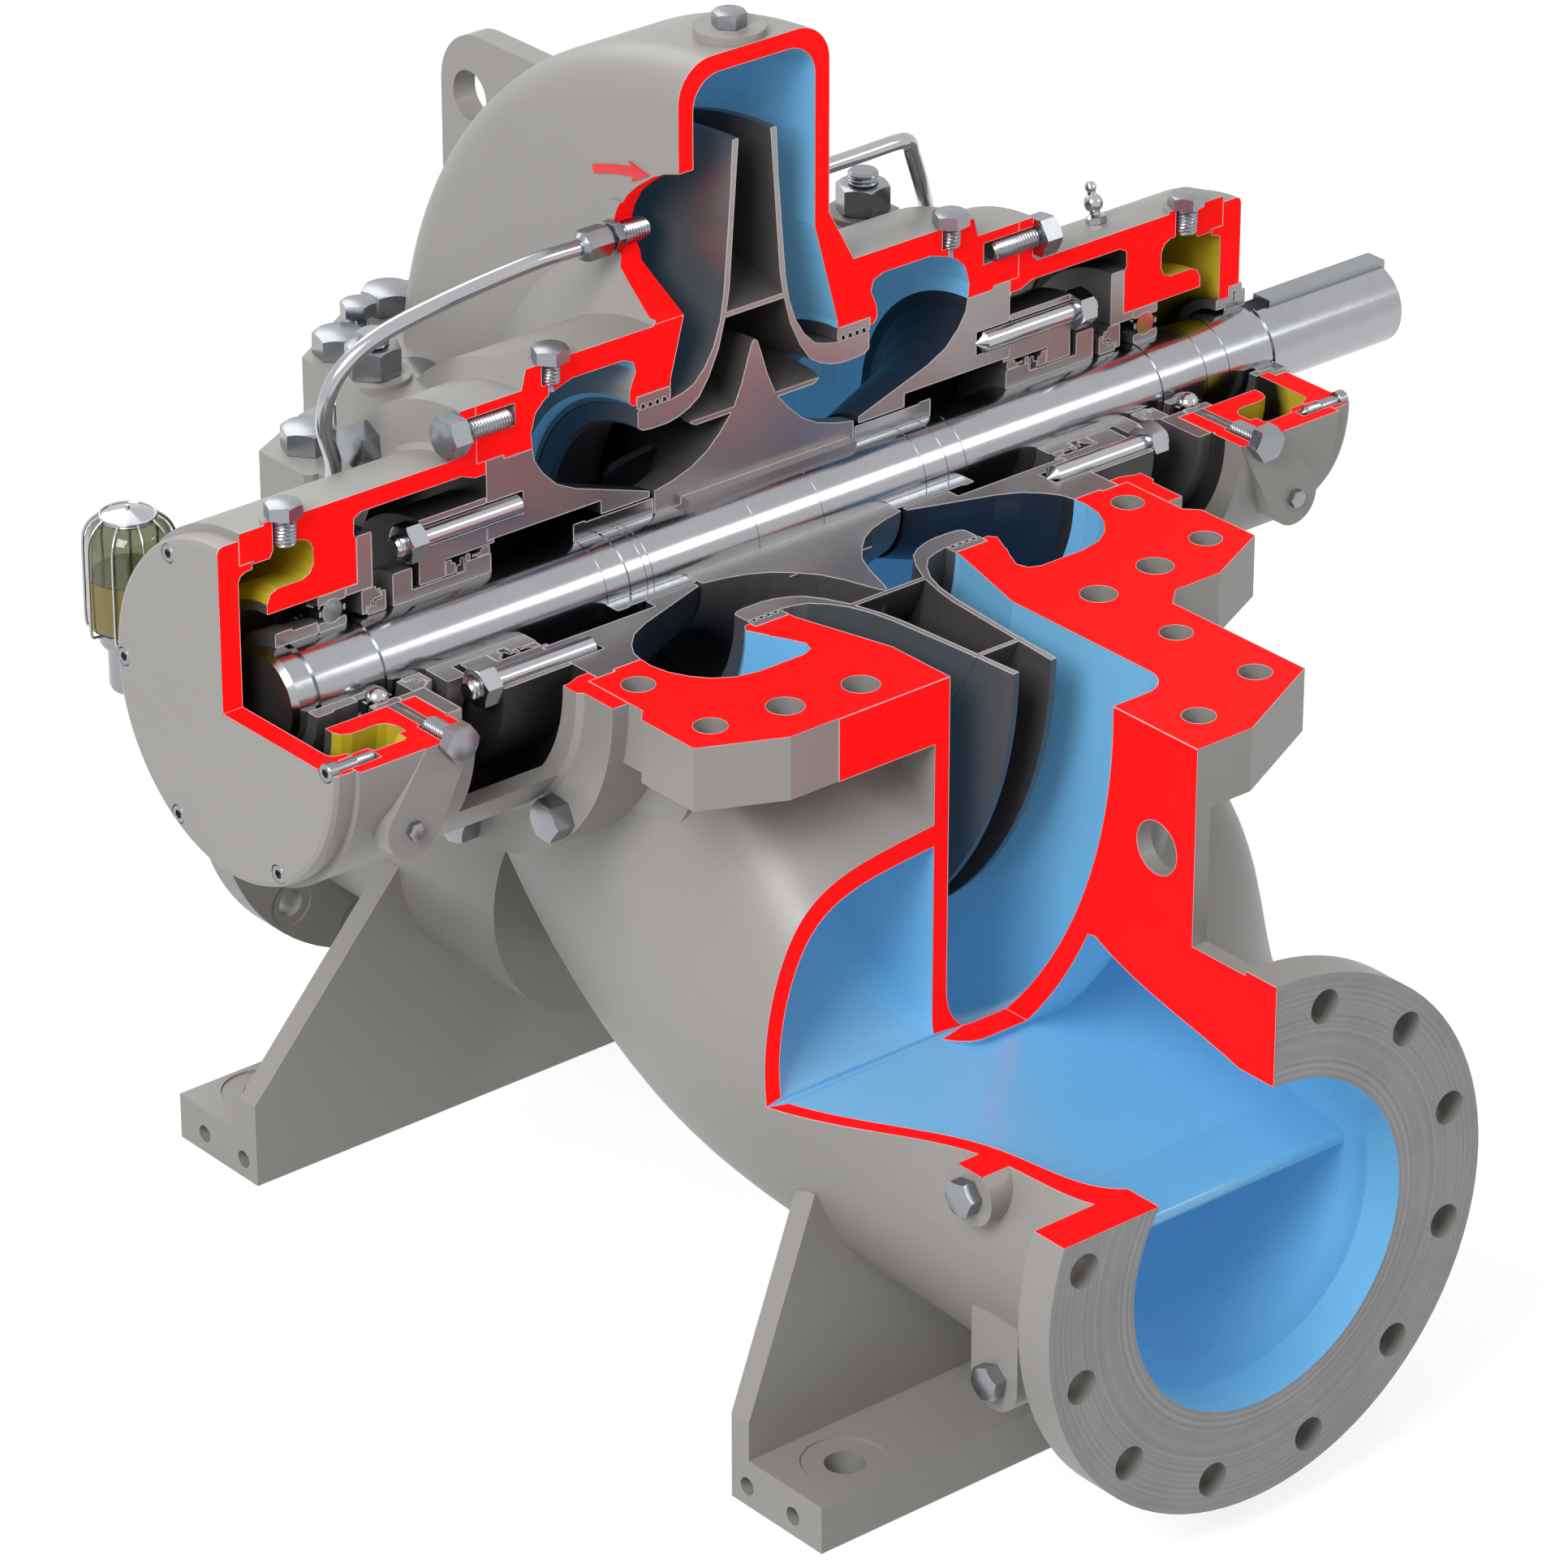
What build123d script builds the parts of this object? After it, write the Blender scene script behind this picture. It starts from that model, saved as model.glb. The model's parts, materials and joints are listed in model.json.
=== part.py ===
"""Sectioned double-suction split case pump, millimetres, +Z up, floor at Z 0."""

import math
import os

from build123d import *

os.makedirs("parts", exist_ok=True)

# Frame: X runs along the shaft towards the coupling, +Y is the discharge side
shaft_height = 580.0
origin = (0.0, 0.0, shaft_height)
side_plane = Plane(origin=origin, x_dir=(1, 0, 0), z_dir=(0, -1, 0))
top_plane = Plane(origin=origin, x_dir=(1, 0, 0), z_dir=(0, 0, 1))
end_plane = Plane(origin=origin, x_dir=(0, 1, 0), z_dir=(1, 0, 0))
shaft_axis = Axis(origin, (1, 0, 0))
open_axis = Axis(origin, (-1, 0, 0))

# The cut-away quarter leaves three quarters of every sectioned ring
section_arc = 270.0
full_arc = 360.0

# Casing
cover_face = 472.0
housing_end = 453.5
flange_plate = 48.0
end_face = 250.0
spigot_end = 242.0
spigot_radius = 121.2
chamber_outer = 201.0
chamber_bore = 118.2
ring_inner = 77.0
ring_outer = 107.7
ring_seat = 130.0
volute_half = 55.3
volute_wall = 13.3
lower_wall = 17.0
spiral_start = 330.0
spiral_rate = 0.283
suction_drop = 350.0
suction_face = 550.0
suction_flange_radius = 202.5
suction_bore = 125.0
suction_circle = 177.5
flange_hole = 13.0
suction_plate = 31.0
cut_depth = 275.5
cut_height = 280.0

# Feet
foot_reach = 257.0
foot_inner = 281.0
foot_outer = 379.0
foot_web = 19.0
pad_height = 38.0
foot_hole_x = 205.0
foot_hole_y = 343.0
foot_hole = 15.0

# Rotor
shaft_seat = 35.0
eye_ring = 119.6
ring_gap = 0.4
impeller_radius = 301.0


def ring(profile, arc):
    """Body turned from a closed profile of (x, radius) pairs about the shaft."""
    with BuildPart() as body:
        with BuildSketch(side_plane):
            with BuildLine():
                Polyline(*profile, close=True)
            make_face()
        revolve(axis=open_axis, revolution_arc=arc)
    return body.part


def flip(profile):
    """The same profile for the other end of the pump."""
    return [(-x, radius) for x, radius in reversed(profile)]


def spiral_points(start, stop, steps, extra):
    """Points of the volute outline in the end plane, as (y, z) pairs."""
    points = []
    for index in range(steps + 1):
        angle = start + index * (stop - start) / steps
        reach = spiral_start + spiral_rate * angle + extra
        turn = math.radians(angle)
        points.append((reach * math.cos(turn), reach * math.sin(turn)))
    return points


def spiral_body(start, stop, half, extra, corner):
    """Flat-sided spiral sector about the shaft with rounded outer corners."""
    curve = spiral_points(start, stop, 12, extra)
    with BuildPart() as body:
        with BuildSketch(end_plane.offset(-half)):
            with BuildLine():
                Spline(*curve)
                Line(curve[-1], (0.0, 0.0))
                Line((0.0, 0.0), curve[0])
            make_face()
        extrude(amount=2.0 * half)
        rims = body.edges().filter_by(GeomType.BSPLINE)
        fillet(rims, radius=corner)
    return body.part


def save(body, name):
    """Write one named piece."""
    body.label = name
    export_step(body, f"parts/{name}.step")


def box_between(low, high):
    """Plain block between two corners given in the shaft frame."""
    with BuildPart() as body:
        middle = [(a + b) / 2.0 for a, b in zip(low, high)]
        with Locations((middle[0], middle[1], middle[2] + shaft_height)):
            Box(high[0] - low[0], high[1] - low[1], high[2] - low[2])
    return body.part


def horn_section(y, z, tilt, width, height, power):
    """One rounded section of the suction passage, tilted about X."""
    turn = math.radians(tilt)
    place = Plane(
        origin=(0.0, y, z + shaft_height),
        x_dir=(1, 0, 0),
        z_dir=(0, math.cos(turn), math.sin(turn)),
    )
    points = []
    for index in range(12):
        step = 2.0 * math.pi * (index + 0.5) / 12
        across = math.cos(step)
        rise = math.sin(step)
        points.append((
            width * math.copysign(abs(across) ** (2.0 / power), across),
            0.5 * height * math.copysign(abs(rise) ** (2.0 / power), rise),
        ))
    with BuildSketch(place) as section:
        with BuildLine():
            Spline(*points, periodic=True)
        make_face()
    return section.sketch


# Suction passage sections: y, z, tilt, half width, height, squareness
horn_outer = [
    (-535.0, -350.0, 0.0, 141.0, 282.0, 2.0),
    (-450.0, -347.0, 2.0, 157.0, 296.0, 2.3),
    (-385.0, -333.0, 8.0, 165.0, 294.0, 2.6),
    (-275.0, -283.0, 25.0, 212.0, 286.0, 3.6),
    (-110.5, -194.5, 45.0, 214.0, 346.0, 4.0),
    (-50.0, -125.0, 63.0, 213.0, 368.0, 4.0),
    (-4.0, -40.0, 84.0, 211.0, 362.0, 4.0),
    (0.0, 60.0, 90.0, 211.0, 350.0, 4.0),
]
horn_wall = 13.0
horn_inner = []
for y, z, tilt, width, height, power in horn_outer:
    horn_inner.append((y, z, tilt, width - horn_wall, height - 2.0 * horn_wall, power))
mouth = suction_bore - 1.6
horn_inner[0] = (-520.0, -suction_drop, 0.0, mouth, 2.0 * mouth, 2.0)

# Horizontal splitter along the middle of the passage: top line as (y, z) pairs
splitter_top = [
    (-476.0, -345.0), (-420.0, -339.0), (-350.0, -312.0), (-275.0, -277.0), (-200.0, -232.0),
    (-120.0, -176.0), (-80.0, -142.0),
]
splitter_thickness = 12.0

# Flare of the wall between the volute and the suction chamber
flare_outer = [
    (0.0, 60.0), (ring_outer, 60.0), (ring_outer, 124.0), (113.0, 124.0),
    (117.0, 130.0), (104.0, 158.0), (98.0, 172.0), (86.0, 195.0), (69.5, 226.0),
    (69.5, 240.0), (0.0, 240.0),
]
flare_inner = [
    (0.0, 60.0), (ring_inner, 60.0), (ring_inner, 135.0), (volute_half, 215.0),
    (volute_half, 230.0), (0.0, 230.0),
]

# Split flange outline, front half, right side; mirrored for the rest
split_front = [
    (0.0, -466.0), (50.0, -466.0), (140.0, -423.0), (140.0, -289.0),
    (156.0, -275.0), (198.0, -275.0), (259.5, -246.0), (259.5, -190.0),
    (250.0, -180.0), (250.0, 0.0), (0.0, 0.0),
]


split_rear = [
    (0.0, -418.0), (48.0, -412.0), (138.0, -354.0), (140.0, -300.0), (156.0, -283.0),
    (198.0, -275.0), (259.5, -243.0), (259.5, -190.0), (250.0, -180.0), (250.0, 0.0), (0.0, 0.0),
]


def split_plate(low, high, sides):
    """Split flange plate between two heights, for the listed sides (-1 front, 1 rear)."""
    with BuildPart() as body:
        with BuildSketch(top_plane.offset(low)):
            for side in sides:
                outline = split_front if side < 0 else split_rear
                for hand in (-1, 1):
                    with BuildLine():
                        Polyline(*[(hand * x, -side * y) for x, y in outline], close=True)
                    make_face()
        extrude(amount=high - low)
    return body.part


# Stud holes of the split flange: x, y, radius
front_studs = [
    (110.0, -245.0, 13.5), (110.0, -325.0, 12.0), (110.0, -405.0, 12.0), (35.0, -429.0, 12.0),
    (171.0, -237.0, 13.5), (229.0, -227.0, 12.0), (227.0, -147.0, 12.0),
]
rear_bolts = [
    (110.0, 258.0), (112.0, 342.0), (35.0, 384.0), (171.0, 240.0), (229.0, 225.0),
]
tall_stud = (227.0, 147.0)
bolt_radius = 12.0
bolt_hole = 12.6
nut_corner = 20.8
boss_top = 133.0
jack_spot = (78.0, 364.0)
jack_radius = 8.0
hand_pair = (-1, 1)


def side_box(hand, near, far, low, high):
    """Box on one side of the middle, from near to far along the shaft, with (y, z) corners."""
    ends = sorted((hand * near, hand * far))
    return box_between((ends[0], *low), (ends[1], *high))


def spot(x, y, z, direction):
    """Place at a point of the shaft frame, with its Z along a direction."""
    return Plane(origin=(x, y, z + shaft_height), z_dir=direction).location


def hole(place, radius, depth):
    """Round tool that reaches from a place backwards by a depth."""
    with BuildPart() as body:
        with BuildSketch(Plane.XY.offset(0.5)):
            Circle(radius)
        extrude(amount=-depth - 0.5)
    return place * body.part


def pin(place, radius, length):
    """Round bar that stands up from a place."""
    with BuildPart() as body:
        with BuildSketch(Plane.XY):
            Circle(radius)
        extrude(amount=length)
    return place * body.part


def hex_screw(head_radius, head_height, shank_radius, shank_length):
    """Hexagon head screw along +Z with its seat at the origin."""
    with BuildPart() as body:
        with BuildSketch():
            RegularPolygon(head_radius, 6)
        extrude(amount=head_height)
        if shank_length > 0.0:
            with BuildSketch(Plane.XY):
                Circle(shank_radius)
            extrude(amount=-shank_length)
    return body.part


def cap_screw(head_radius, head_height, shank_radius, shank_length):
    """Socket head screw along +Z with the seat of its head at the origin."""
    with BuildPart() as body:
        with BuildSketch(Plane.XY):
            Circle(head_radius)
        extrude(amount=head_height)
        with BuildSketch(Plane.XY):
            Circle(shank_radius)
        extrude(amount=-shank_length)
        with BuildSketch(Plane.XY.offset(head_height)):
            RegularPolygon(0.53 * head_radius, 6)
        extrude(amount=-0.5 * head_height, mode=Mode.SUBTRACT)
    return body.part


def stud_nut(shank_radius, tip, nut_height, shank_length):
    """Stud with a nut along +Z, the nut seated at the origin."""
    with BuildPart() as body:
        with BuildSketch():
            RegularPolygon(shank_radius * 1.78, 6)
        extrude(amount=nut_height)
        with BuildSketch(Plane.XY.offset(-shank_length)):
            Circle(shank_radius)
        extrude(amount=shank_length + nut_height + tip)
        tops = body.edges().group_by(Axis.Z)[-1]
        chamfer(tops, 0.16 * shank_radius)
    return body.part


def gather(bodies, name):
    """Write several separate bodies as one named piece."""
    with BuildPart() as group:
        for body in bodies:
            add(body)
    save(group.part, name)


# Lower case
volute_outer_low = spiral_body(172.0, 330.0, 68.8, lower_wall, 30.0)
volute_inner_low = spiral_body(170.0, 332.0, volute_half, 0.0, 24.0)
chamber = [
    (end_face + 5.0, 0.0), (end_face + 5.0, spigot_radius), (226.0, spigot_radius),
    (226.0, chamber_bore), (chamber_outer, chamber_bore), (202.0, 130.0), (199.0, 146.0),
    (192.0, 160.0), (182.0, 172.0), (168.0, 181.0), (150.0, 184.8), (110.0, 184.8),
    (101.0, 181.0), (98.0, 172.0), (104.0, 158.0), (113.0, 142.0), (117.0, 130.0),
    (113.0, 124.0), (ring_outer, 124.0), (ring_outer, 0.0),
]
ring_bore = [(-ring_outer, 0.0), (ring_outer, 0.0), (ring_outer, ring_seat), (-ring_outer, ring_seat)]
nozzle_front = Plane(
    origin=(0.0, -suction_face, shaft_height - suction_drop),
    x_dir=(1, 0, 0),
    z_dir=(0, -1, 0),
)
discharge_face = 465.0
discharge_drop = 350.0
discharge_radius = 170.0
discharge_bore = 100.0
discharge_circle = 147.5
discharge_hole = 11.0
nozzle_rear = Plane(
    origin=(0.0, discharge_face, shaft_height - discharge_drop),
    x_dir=(-1, 0, 0),
    z_dir=(0, 1, 0),
)
with BuildPart() as horn_body:
    for place in horn_outer:
        add(horn_section(*place))
    loft()
with BuildPart() as horn_void:
    for place in horn_inner:
        add(horn_section(*place))
    loft()
above = box_between((-600, -700, 0), (700, 700, 400))
with BuildPart() as splitter:
    with BuildSketch(end_plane.offset(-230.0)):
        with BuildLine():
            lower_line = [(y, z - splitter_thickness) for y, z in reversed(splitter_top)]
            Polyline(*splitter_top, *lower_line, close=True)
        make_face()
    extrude(amount=460.0)
    front = splitter.edges().filter_by(Axis.X).sort_by(Axis.Y)[0:2]
    fillet(front, radius=5.0)
    add(horn_body.part, mode=Mode.INTERSECT)

tap_y = 431.0
tap_z = 299.0
ear_y = 437.0
ear_z = 452.0
housing_circle = 149.0
housing_seat = 264.0
housing_angles = (45.0, 90.0, 225.0, 270.0, 315.0)
housing_thread = 8.0
tap_hole = 8.8


def housing_spot(hand, angle):
    """Seat of one bearing housing bolt on the flange's outer face."""
    turn = math.radians(angle)
    across = housing_circle * math.cos(turn)
    up = housing_circle * math.sin(turn)
    return spot(hand * housing_seat, across, up, (hand, 0, 0))


lower_drum = [
    (-250, 0), (250, 0), (250, 165), (214, 165), (205, 197), (-205, 197), (-214, 165), (-250, 165),
]
volute_block = [(-68.8, 0), (68.8, 0), (68.8, 347), (-68.8, 347)]
volute_room = [(-volute_half, 0), (volute_half, 0), (volute_half, 330), (-volute_half, 330)]
front_web = [
    (-466, 0), (-466, -151), (-540, -151), (-540, -210), (-440, -202), (-375, -182), (-340, -190),
    (-340, 0),
]
discharge_plate = 28.0
spot_depth = 1.0
with BuildPart() as lower_case:
    add(horn_body.part)
    add(ring(lower_drum, full_arc))
    with BuildSketch(nozzle_front):
        Circle(suction_flange_radius)
    extrude(amount=-suction_plate)
    add(split_plate(-flange_plate, 30.0, (-1, 1)))
    for hand in hand_pair:
        add(pin(spot(hand * 100.0, -tap_y, -tap_z, (hand, 0, 0)), 23.0, 70.0))
        add(pin(spot(hand * 60.0, -ear_y, -ear_z, (hand, 0, 0)), 24.0, 90.0))
        add(side_box(hand, 60.0, 150.0, (-ear_y - 24.0, -ear_z), (-ear_y + 24.0, -400.0)))
    add(horn_void.part, mode=Mode.SUBTRACT)
    with BuildSketch(nozzle_front):
        Circle(suction_bore)
    extrude(amount=-40.0, mode=Mode.SUBTRACT)
    add(splitter.part)
    add(ring(chamber, full_arc), mode=Mode.SUBTRACT)
    add(ring(flip(chamber), full_arc), mode=Mode.SUBTRACT)
    add(volute_outer_low)
    add(ring(volute_block, full_arc))
    add(ring(flare_outer, full_arc))
    add(ring(flip(flare_outer), full_arc))
    with BuildSketch(end_plane.offset(-13.0)):
        with BuildLine():
            Polyline(*front_web, close=True)
        make_face()
    extrude(amount=26.0)
    with BuildSketch(nozzle_rear.offset(-300.0)):
        Circle(116.0)
    extrude(amount=300.0)
    with BuildSketch(nozzle_rear):
        Circle(discharge_radius)
    extrude(amount=-discharge_plate)
    add(ring(flare_inner, full_arc), mode=Mode.SUBTRACT)
    add(ring(flip(flare_inner), full_arc), mode=Mode.SUBTRACT)
    add(volute_inner_low, mode=Mode.SUBTRACT)
    add(ring(volute_room, full_arc), mode=Mode.SUBTRACT)
    add(ring(ring_bore, full_arc), mode=Mode.SUBTRACT)
    add(above, mode=Mode.SUBTRACT)
    with BuildSketch(nozzle_rear):
        Circle(discharge_bore)
    extrude(amount=-270.0, mode=Mode.SUBTRACT)
    drills = []
    for index in range(12):
        turn = math.radians(15.0 + 30.0 * index)
        x = math.cos(turn)
        z = math.sin(turn)
        place = spot(suction_circle * x, -suction_face, suction_circle * z - suction_drop, (0, -1, 0))
        drills.append(hole(place, flange_hole, suction_plate + 2.0))
        across = discharge_circle * x
        up = discharge_circle * z - discharge_drop
        drills.append(hole(spot(across, discharge_face, up, (0, 1, 0)), discharge_hole, 30.0))
        back = spot(across, discharge_face - discharge_plate, up, (0, -1, 0))
        drills.append(hole(back, 19.0, spot_depth))
    for hand in hand_pair:
        for x, y, radius in front_studs:
            drills.append(hole(spot(hand * x, y, 0.0, (0, 0, 1)), radius, 40.0))
        for x, y in rear_bolts:
            drills.append(hole(spot(hand * x, y, 0.0, (0, 0, 1)), bolt_hole, 36.0))
        drills.append(hole(spot(hand * tall_stud[0], tall_stud[1], 0.0, (0, 0, 1)), bolt_hole, 36.0))
        for angle in housing_angles[2:]:
            drills.append(hole(housing_spot(hand, angle), housing_thread + 0.3, 48.0))
    drills.append(hole(spot(13.0, -428.0, -90.0, (1, 0, 0)), 20.0, 26.5))
    drills.append(hole(spot(-140.0, -356.0, -24.0, (-1, 0, 0)), 9.0, 30.0))
    add(drills, mode=Mode.SUBTRACT)
    add(box_between((-400, -700, -cut_height), (0, -cut_depth, 50)), mode=Mode.SUBTRACT)
lower_case.part.label = "lower_case"
export_step(lower_case.part, "parts/lower_case.step")

# Feet: a pad with two holes, and a web that rises to the casing
foot_plane = Plane(origin=(0, 0, 0), x_dir=(1, 0, 0), z_dir=(0, -1, 0))
for side, name, reach in ((-1, "front_foot", 197.0), (1, "rear_foot", 110.0)):
    near = side * foot_inner
    far = side * foot_outer
    low = min(near, far)
    high = max(near, far)
    with BuildPart() as foot:
        with Locations((0, (low + high) / 2.0, pad_height / 2.0)):
            Box(2 * foot_reach, high - low, pad_height)
        with BuildSketch(Plane(origin=(0, near, 0), x_dir=(1, 0, 0), z_dir=(0, -1, 0))):
            with BuildLine():
                Polyline(
                    (-foot_reach, pad_height), (-foot_reach, 69.0), (-reach, 232.0),
                    (reach, 232.0), (foot_reach, 69.0), (foot_reach, pad_height), close=True,
                )
            make_face()
        extrude(amount=-side * foot_web)
        add(horn_body.part, mode=Mode.SUBTRACT)
        with Locations((0, 0, shaft_height - discharge_drop)):
            Cylinder(116.0, 2 * discharge_face, rotation=(90, 0, 0), mode=Mode.SUBTRACT)
        add(volute_outer_low, mode=Mode.SUBTRACT)
        with BuildSketch(Plane.XY):
            with Locations((-foot_hole_x, side * foot_hole_y), (foot_hole_x, side * foot_hole_y)):
                Circle(foot_hole)
        extrude(amount=pad_height, mode=Mode.SUBTRACT)
        spots = []
        for hand in hand_pair:
            for y in (298.0, 348.0):
                place = spot(hand * foot_reach, side * y, 16.0 - shaft_height, (hand, 0, 0))
                spots.append(hole(place, 7.0, 25.0))
            place = spot(hand * foot_hole_x, side * foot_hole_y, pad_height - shaft_height, (0, 0, 1))
            spots.append(hole(place, 32.0, 1.5))
        add(spots, mode=Mode.SUBTRACT)
    save(foot.part.solids().sort_by(SortBy.VOLUME)[-1], name)

# Upper case: only the rear quarter is left
upper_plate = 48.0
upper_chamber = [
    (end_face + 5.0, 0.0), (end_face + 5.0, spigot_radius), (226.0, spigot_radius),
    (226.0, chamber_bore), (chamber_outer, chamber_bore), (202.0, 130.0), (198.0, 144.0),
    (190.0, 152.0), (180.0, 157.0), (165.0, 161.5), (120.0, 161.5), (111.0, 158.0),
    (108.5, 150.0), (114.0, 137.0), (114.5, 128.0), (111.0, 124.0),
    (ring_outer, 124.0), (ring_outer, 0.0),
]
upper_flare = [
    (-107.7, 60), (107.7, 60), (107.7, 124), (111, 124), (114.5, 128), (114, 137), (108.5, 150),
    (92, 180), (69, 222), (-69, 222), (-92, 180), (-108.5, 150), (-114, 137), (-114.5, 128),
    (-111, 124), (-107.7, 124),
]
front_side = box_between((-600, -700, -500), (700, 0, 500))
below = box_between((-600, -100, -400), (700, 700, 0))
window = [
    (-8, 290), (0, 288), (16, 283), (28, 277), (45, 265), (57, 254), (65, 241), (68.5, 231),
    (65, 217), (56.5, 202), (37, 195), (23, 190), (0, 181), (-8, 179),
]
flush_y = 65.0
flush_z = 222.0
lug_outline = [(120, 60), (346, 60), (346, 283), (120, 283)]
with BuildPart() as lug:
    with BuildSketch(end_plane.offset(-10.0)):
        with BuildLine():
            Polyline(*lug_outline, close=True)
        make_face()
        fillet(vertices().sort_by(Axis.Y)[-2:].sort_by(Axis.Z)[-1], radius=45.0)
    extrude(amount=20.0)
upper_drum = [
    (-250, 60), (250, 60), (250, 165), (210, 165), (206, 180), (-206, 180), (-210, 165), (-250, 165),
]
with BuildPart() as upper_case:
    add(ring(upper_drum, full_arc))
    add(split_plate(-30.0, upper_plate, (1,)))
    for hand in hand_pair:
        add(pin(spot(hand * tall_stud[0], tall_stud[1], 0.0, (0, 0, 1)), 27.0, boss_top))
        add(side_box(hand, 200.0, 250.0, (60.0, 0.0), (tall_stud[1], boss_top - 4.0)))
    add(ring(upper_chamber, full_arc), mode=Mode.SUBTRACT)
    add(ring(flip(upper_chamber), full_arc), mode=Mode.SUBTRACT)
    add(spiral_body(-8.0, 98.0, 68.8, volute_wall, 30.0))
    add(ring(upper_flare, full_arc))
    add(lug.part)
    add(pin(spot(0.0, 27.0, 340.0, (0, 0, 1)), 26.0, 33.5))
    for hand in hand_pair:
        add(pin(spot(hand * 60.0, flush_y, flush_z, (hand, 0, 0)), 26.0, 12.0))
    add(ring(flare_inner, full_arc), mode=Mode.SUBTRACT)
    add(ring(flip(flare_inner), full_arc), mode=Mode.SUBTRACT)
    add(spiral_body(-10.0, 100.0, volute_half, 0.0, 24.0), mode=Mode.SUBTRACT)
    add(ring(ring_bore, full_arc), mode=Mode.SUBTRACT)
    add(front_side, mode=Mode.SUBTRACT)
    add(below, mode=Mode.SUBTRACT)
    for hand in hand_pair:
        add(side_box(hand, end_face, 300.0, (-10.0, -10.0), (185.0, 200.0)), mode=Mode.SUBTRACT)
    with BuildSketch(end_plane.offset(-90.0)):
        with BuildLine():
            Polyline(*window, close=True)
        make_face()
    extrude(amount=40.0, mode=Mode.SUBTRACT)
    drills = [hole(spot(10.0, 312.0, 234.0, (1, 0, 0)), 19.5, 20.5)]
    for hand in hand_pair:
        for x, y in rear_bolts:
            drills.append(hole(spot(hand * x, y, upper_plate, (0, 0, 1)), bolt_hole, upper_plate + 1.0))
        place = spot(hand * tall_stud[0], tall_stud[1], boss_top, (0, 0, 1))
        drills.append(hole(place, bolt_hole, boss_top + 1.0))
        for angle in housing_angles[:2]:
            drills.append(hole(housing_spot(hand, angle), housing_thread + 0.3, 48.0))
        drills.append(hole(spot(hand * 184.0, 0.0, 190.0, (0, 0, 1)), 7.8, 27.0))
        drills.append(hole(spot(hand * 184.0, 0.0, 170.0, (0, 0, 1)), 1.6, 20.0))
        drills.append(hole(spot(hand * 72.0, flush_y, flush_z, (hand, 0, 0)), tap_hole, 26.0))
    add(drills, mode=Mode.SUBTRACT)
upper_case.part.label = "upper_case"
export_step(upper_case.part, "parts/upper_case.step")

# Bearing housings: shell, window openings, web, hub and oil chamber
housing = [
    (spigot_end, 111.0), (252.0, 111.0), (263.0, 115.5), (350.0, 115.5), (356.5, 112.0),
    (357.0, 100.0), (355.0, 97.0), (355.0, 62.5), (432.0, 62.5), (432.0, 70.0),
    (429.0, 77.0), (422.0, 80.0), (401.0, 80.0), (395.0, 83.0), (392.0, 89.0),
    (392.0, 101.0), (395.0, 107.0), (401.0, 110.0), (425.0, 110.0), (428.0, 104.0),
    (442.0, 104.0), (442.0, 106.2), (housing_end, 106.2), (housing_end, 130.0),
    (268.0, 130.0), (264.0, 134.0), (264.0, 165.0), (end_face, 165.0),
    (end_face, spigot_radius), (spigot_end, spigot_radius),
]
screw_circle = 115.4
screw_angles = (0.0, 60.0, 180.0, 240.0, 300.0)
plug_x = 415.5
side_plug_x = 374.0


def screw_spot(hand, angle):
    """Seat of one end cover screw in its counterbore."""
    turn = math.radians(angle)
    return spot(hand * 463.5, screw_circle * math.cos(turn), screw_circle * math.sin(turn), (hand, 0, 0))


for hand, name in ((-1, "left_bearing_housing"), (1, "right_bearing_housing")):
    profile = housing if hand > 0 else flip(housing)
    with BuildPart() as bearing_housing:
        add(ring(profile, section_arc))
        with BuildSketch(Plane(origin=(0, -100.0, shaft_height), x_dir=(hand, 0, 0), z_dir=(0, -hand, 0))):
            with BuildLine():
                Polyline((355, 0), (398, 0), (431, -50), (390, -68), close=True)
            make_face()
            with Locations((410, -57)):
                Circle(22.0)
        extrude(amount=hand * 31.0)
        add(pin(spot(hand * plug_x, 0.0, 122.0, (0, 0, 1)), 17.0, 10.0))
        add(side_box(hand, 268.0, 355.0, (-140.0, -71.0), (140.0, 71.0)), mode=Mode.SUBTRACT)
        drills = [
            hole(spot(hand * plug_x, 0.0, 132.0, (0, 0, 1)), 9.6, 24.0),
            hole(spot(hand * side_plug_x, -131.0, 0.0, (0, -1, 0)), 8.0, 31.0),
            hole(spot(hand * side_plug_x, -105.0, 0.0, (0, -1, 0)), 5.0, 45.0),
        ]
        for angle in housing_angles:
            drills.append(hole(housing_spot(hand, angle), housing_thread + 0.3, 15.0))
        for angle in screw_angles:
            drills.append(hole(screw_spot(hand, angle), 4.7, 36.0))
        add(drills, mode=Mode.SUBTRACT)
        add(box_between((-600, -300, 0), (600, 0, 300)), mode=Mode.SUBTRACT)
    save(bearing_housing.part, name)

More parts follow.
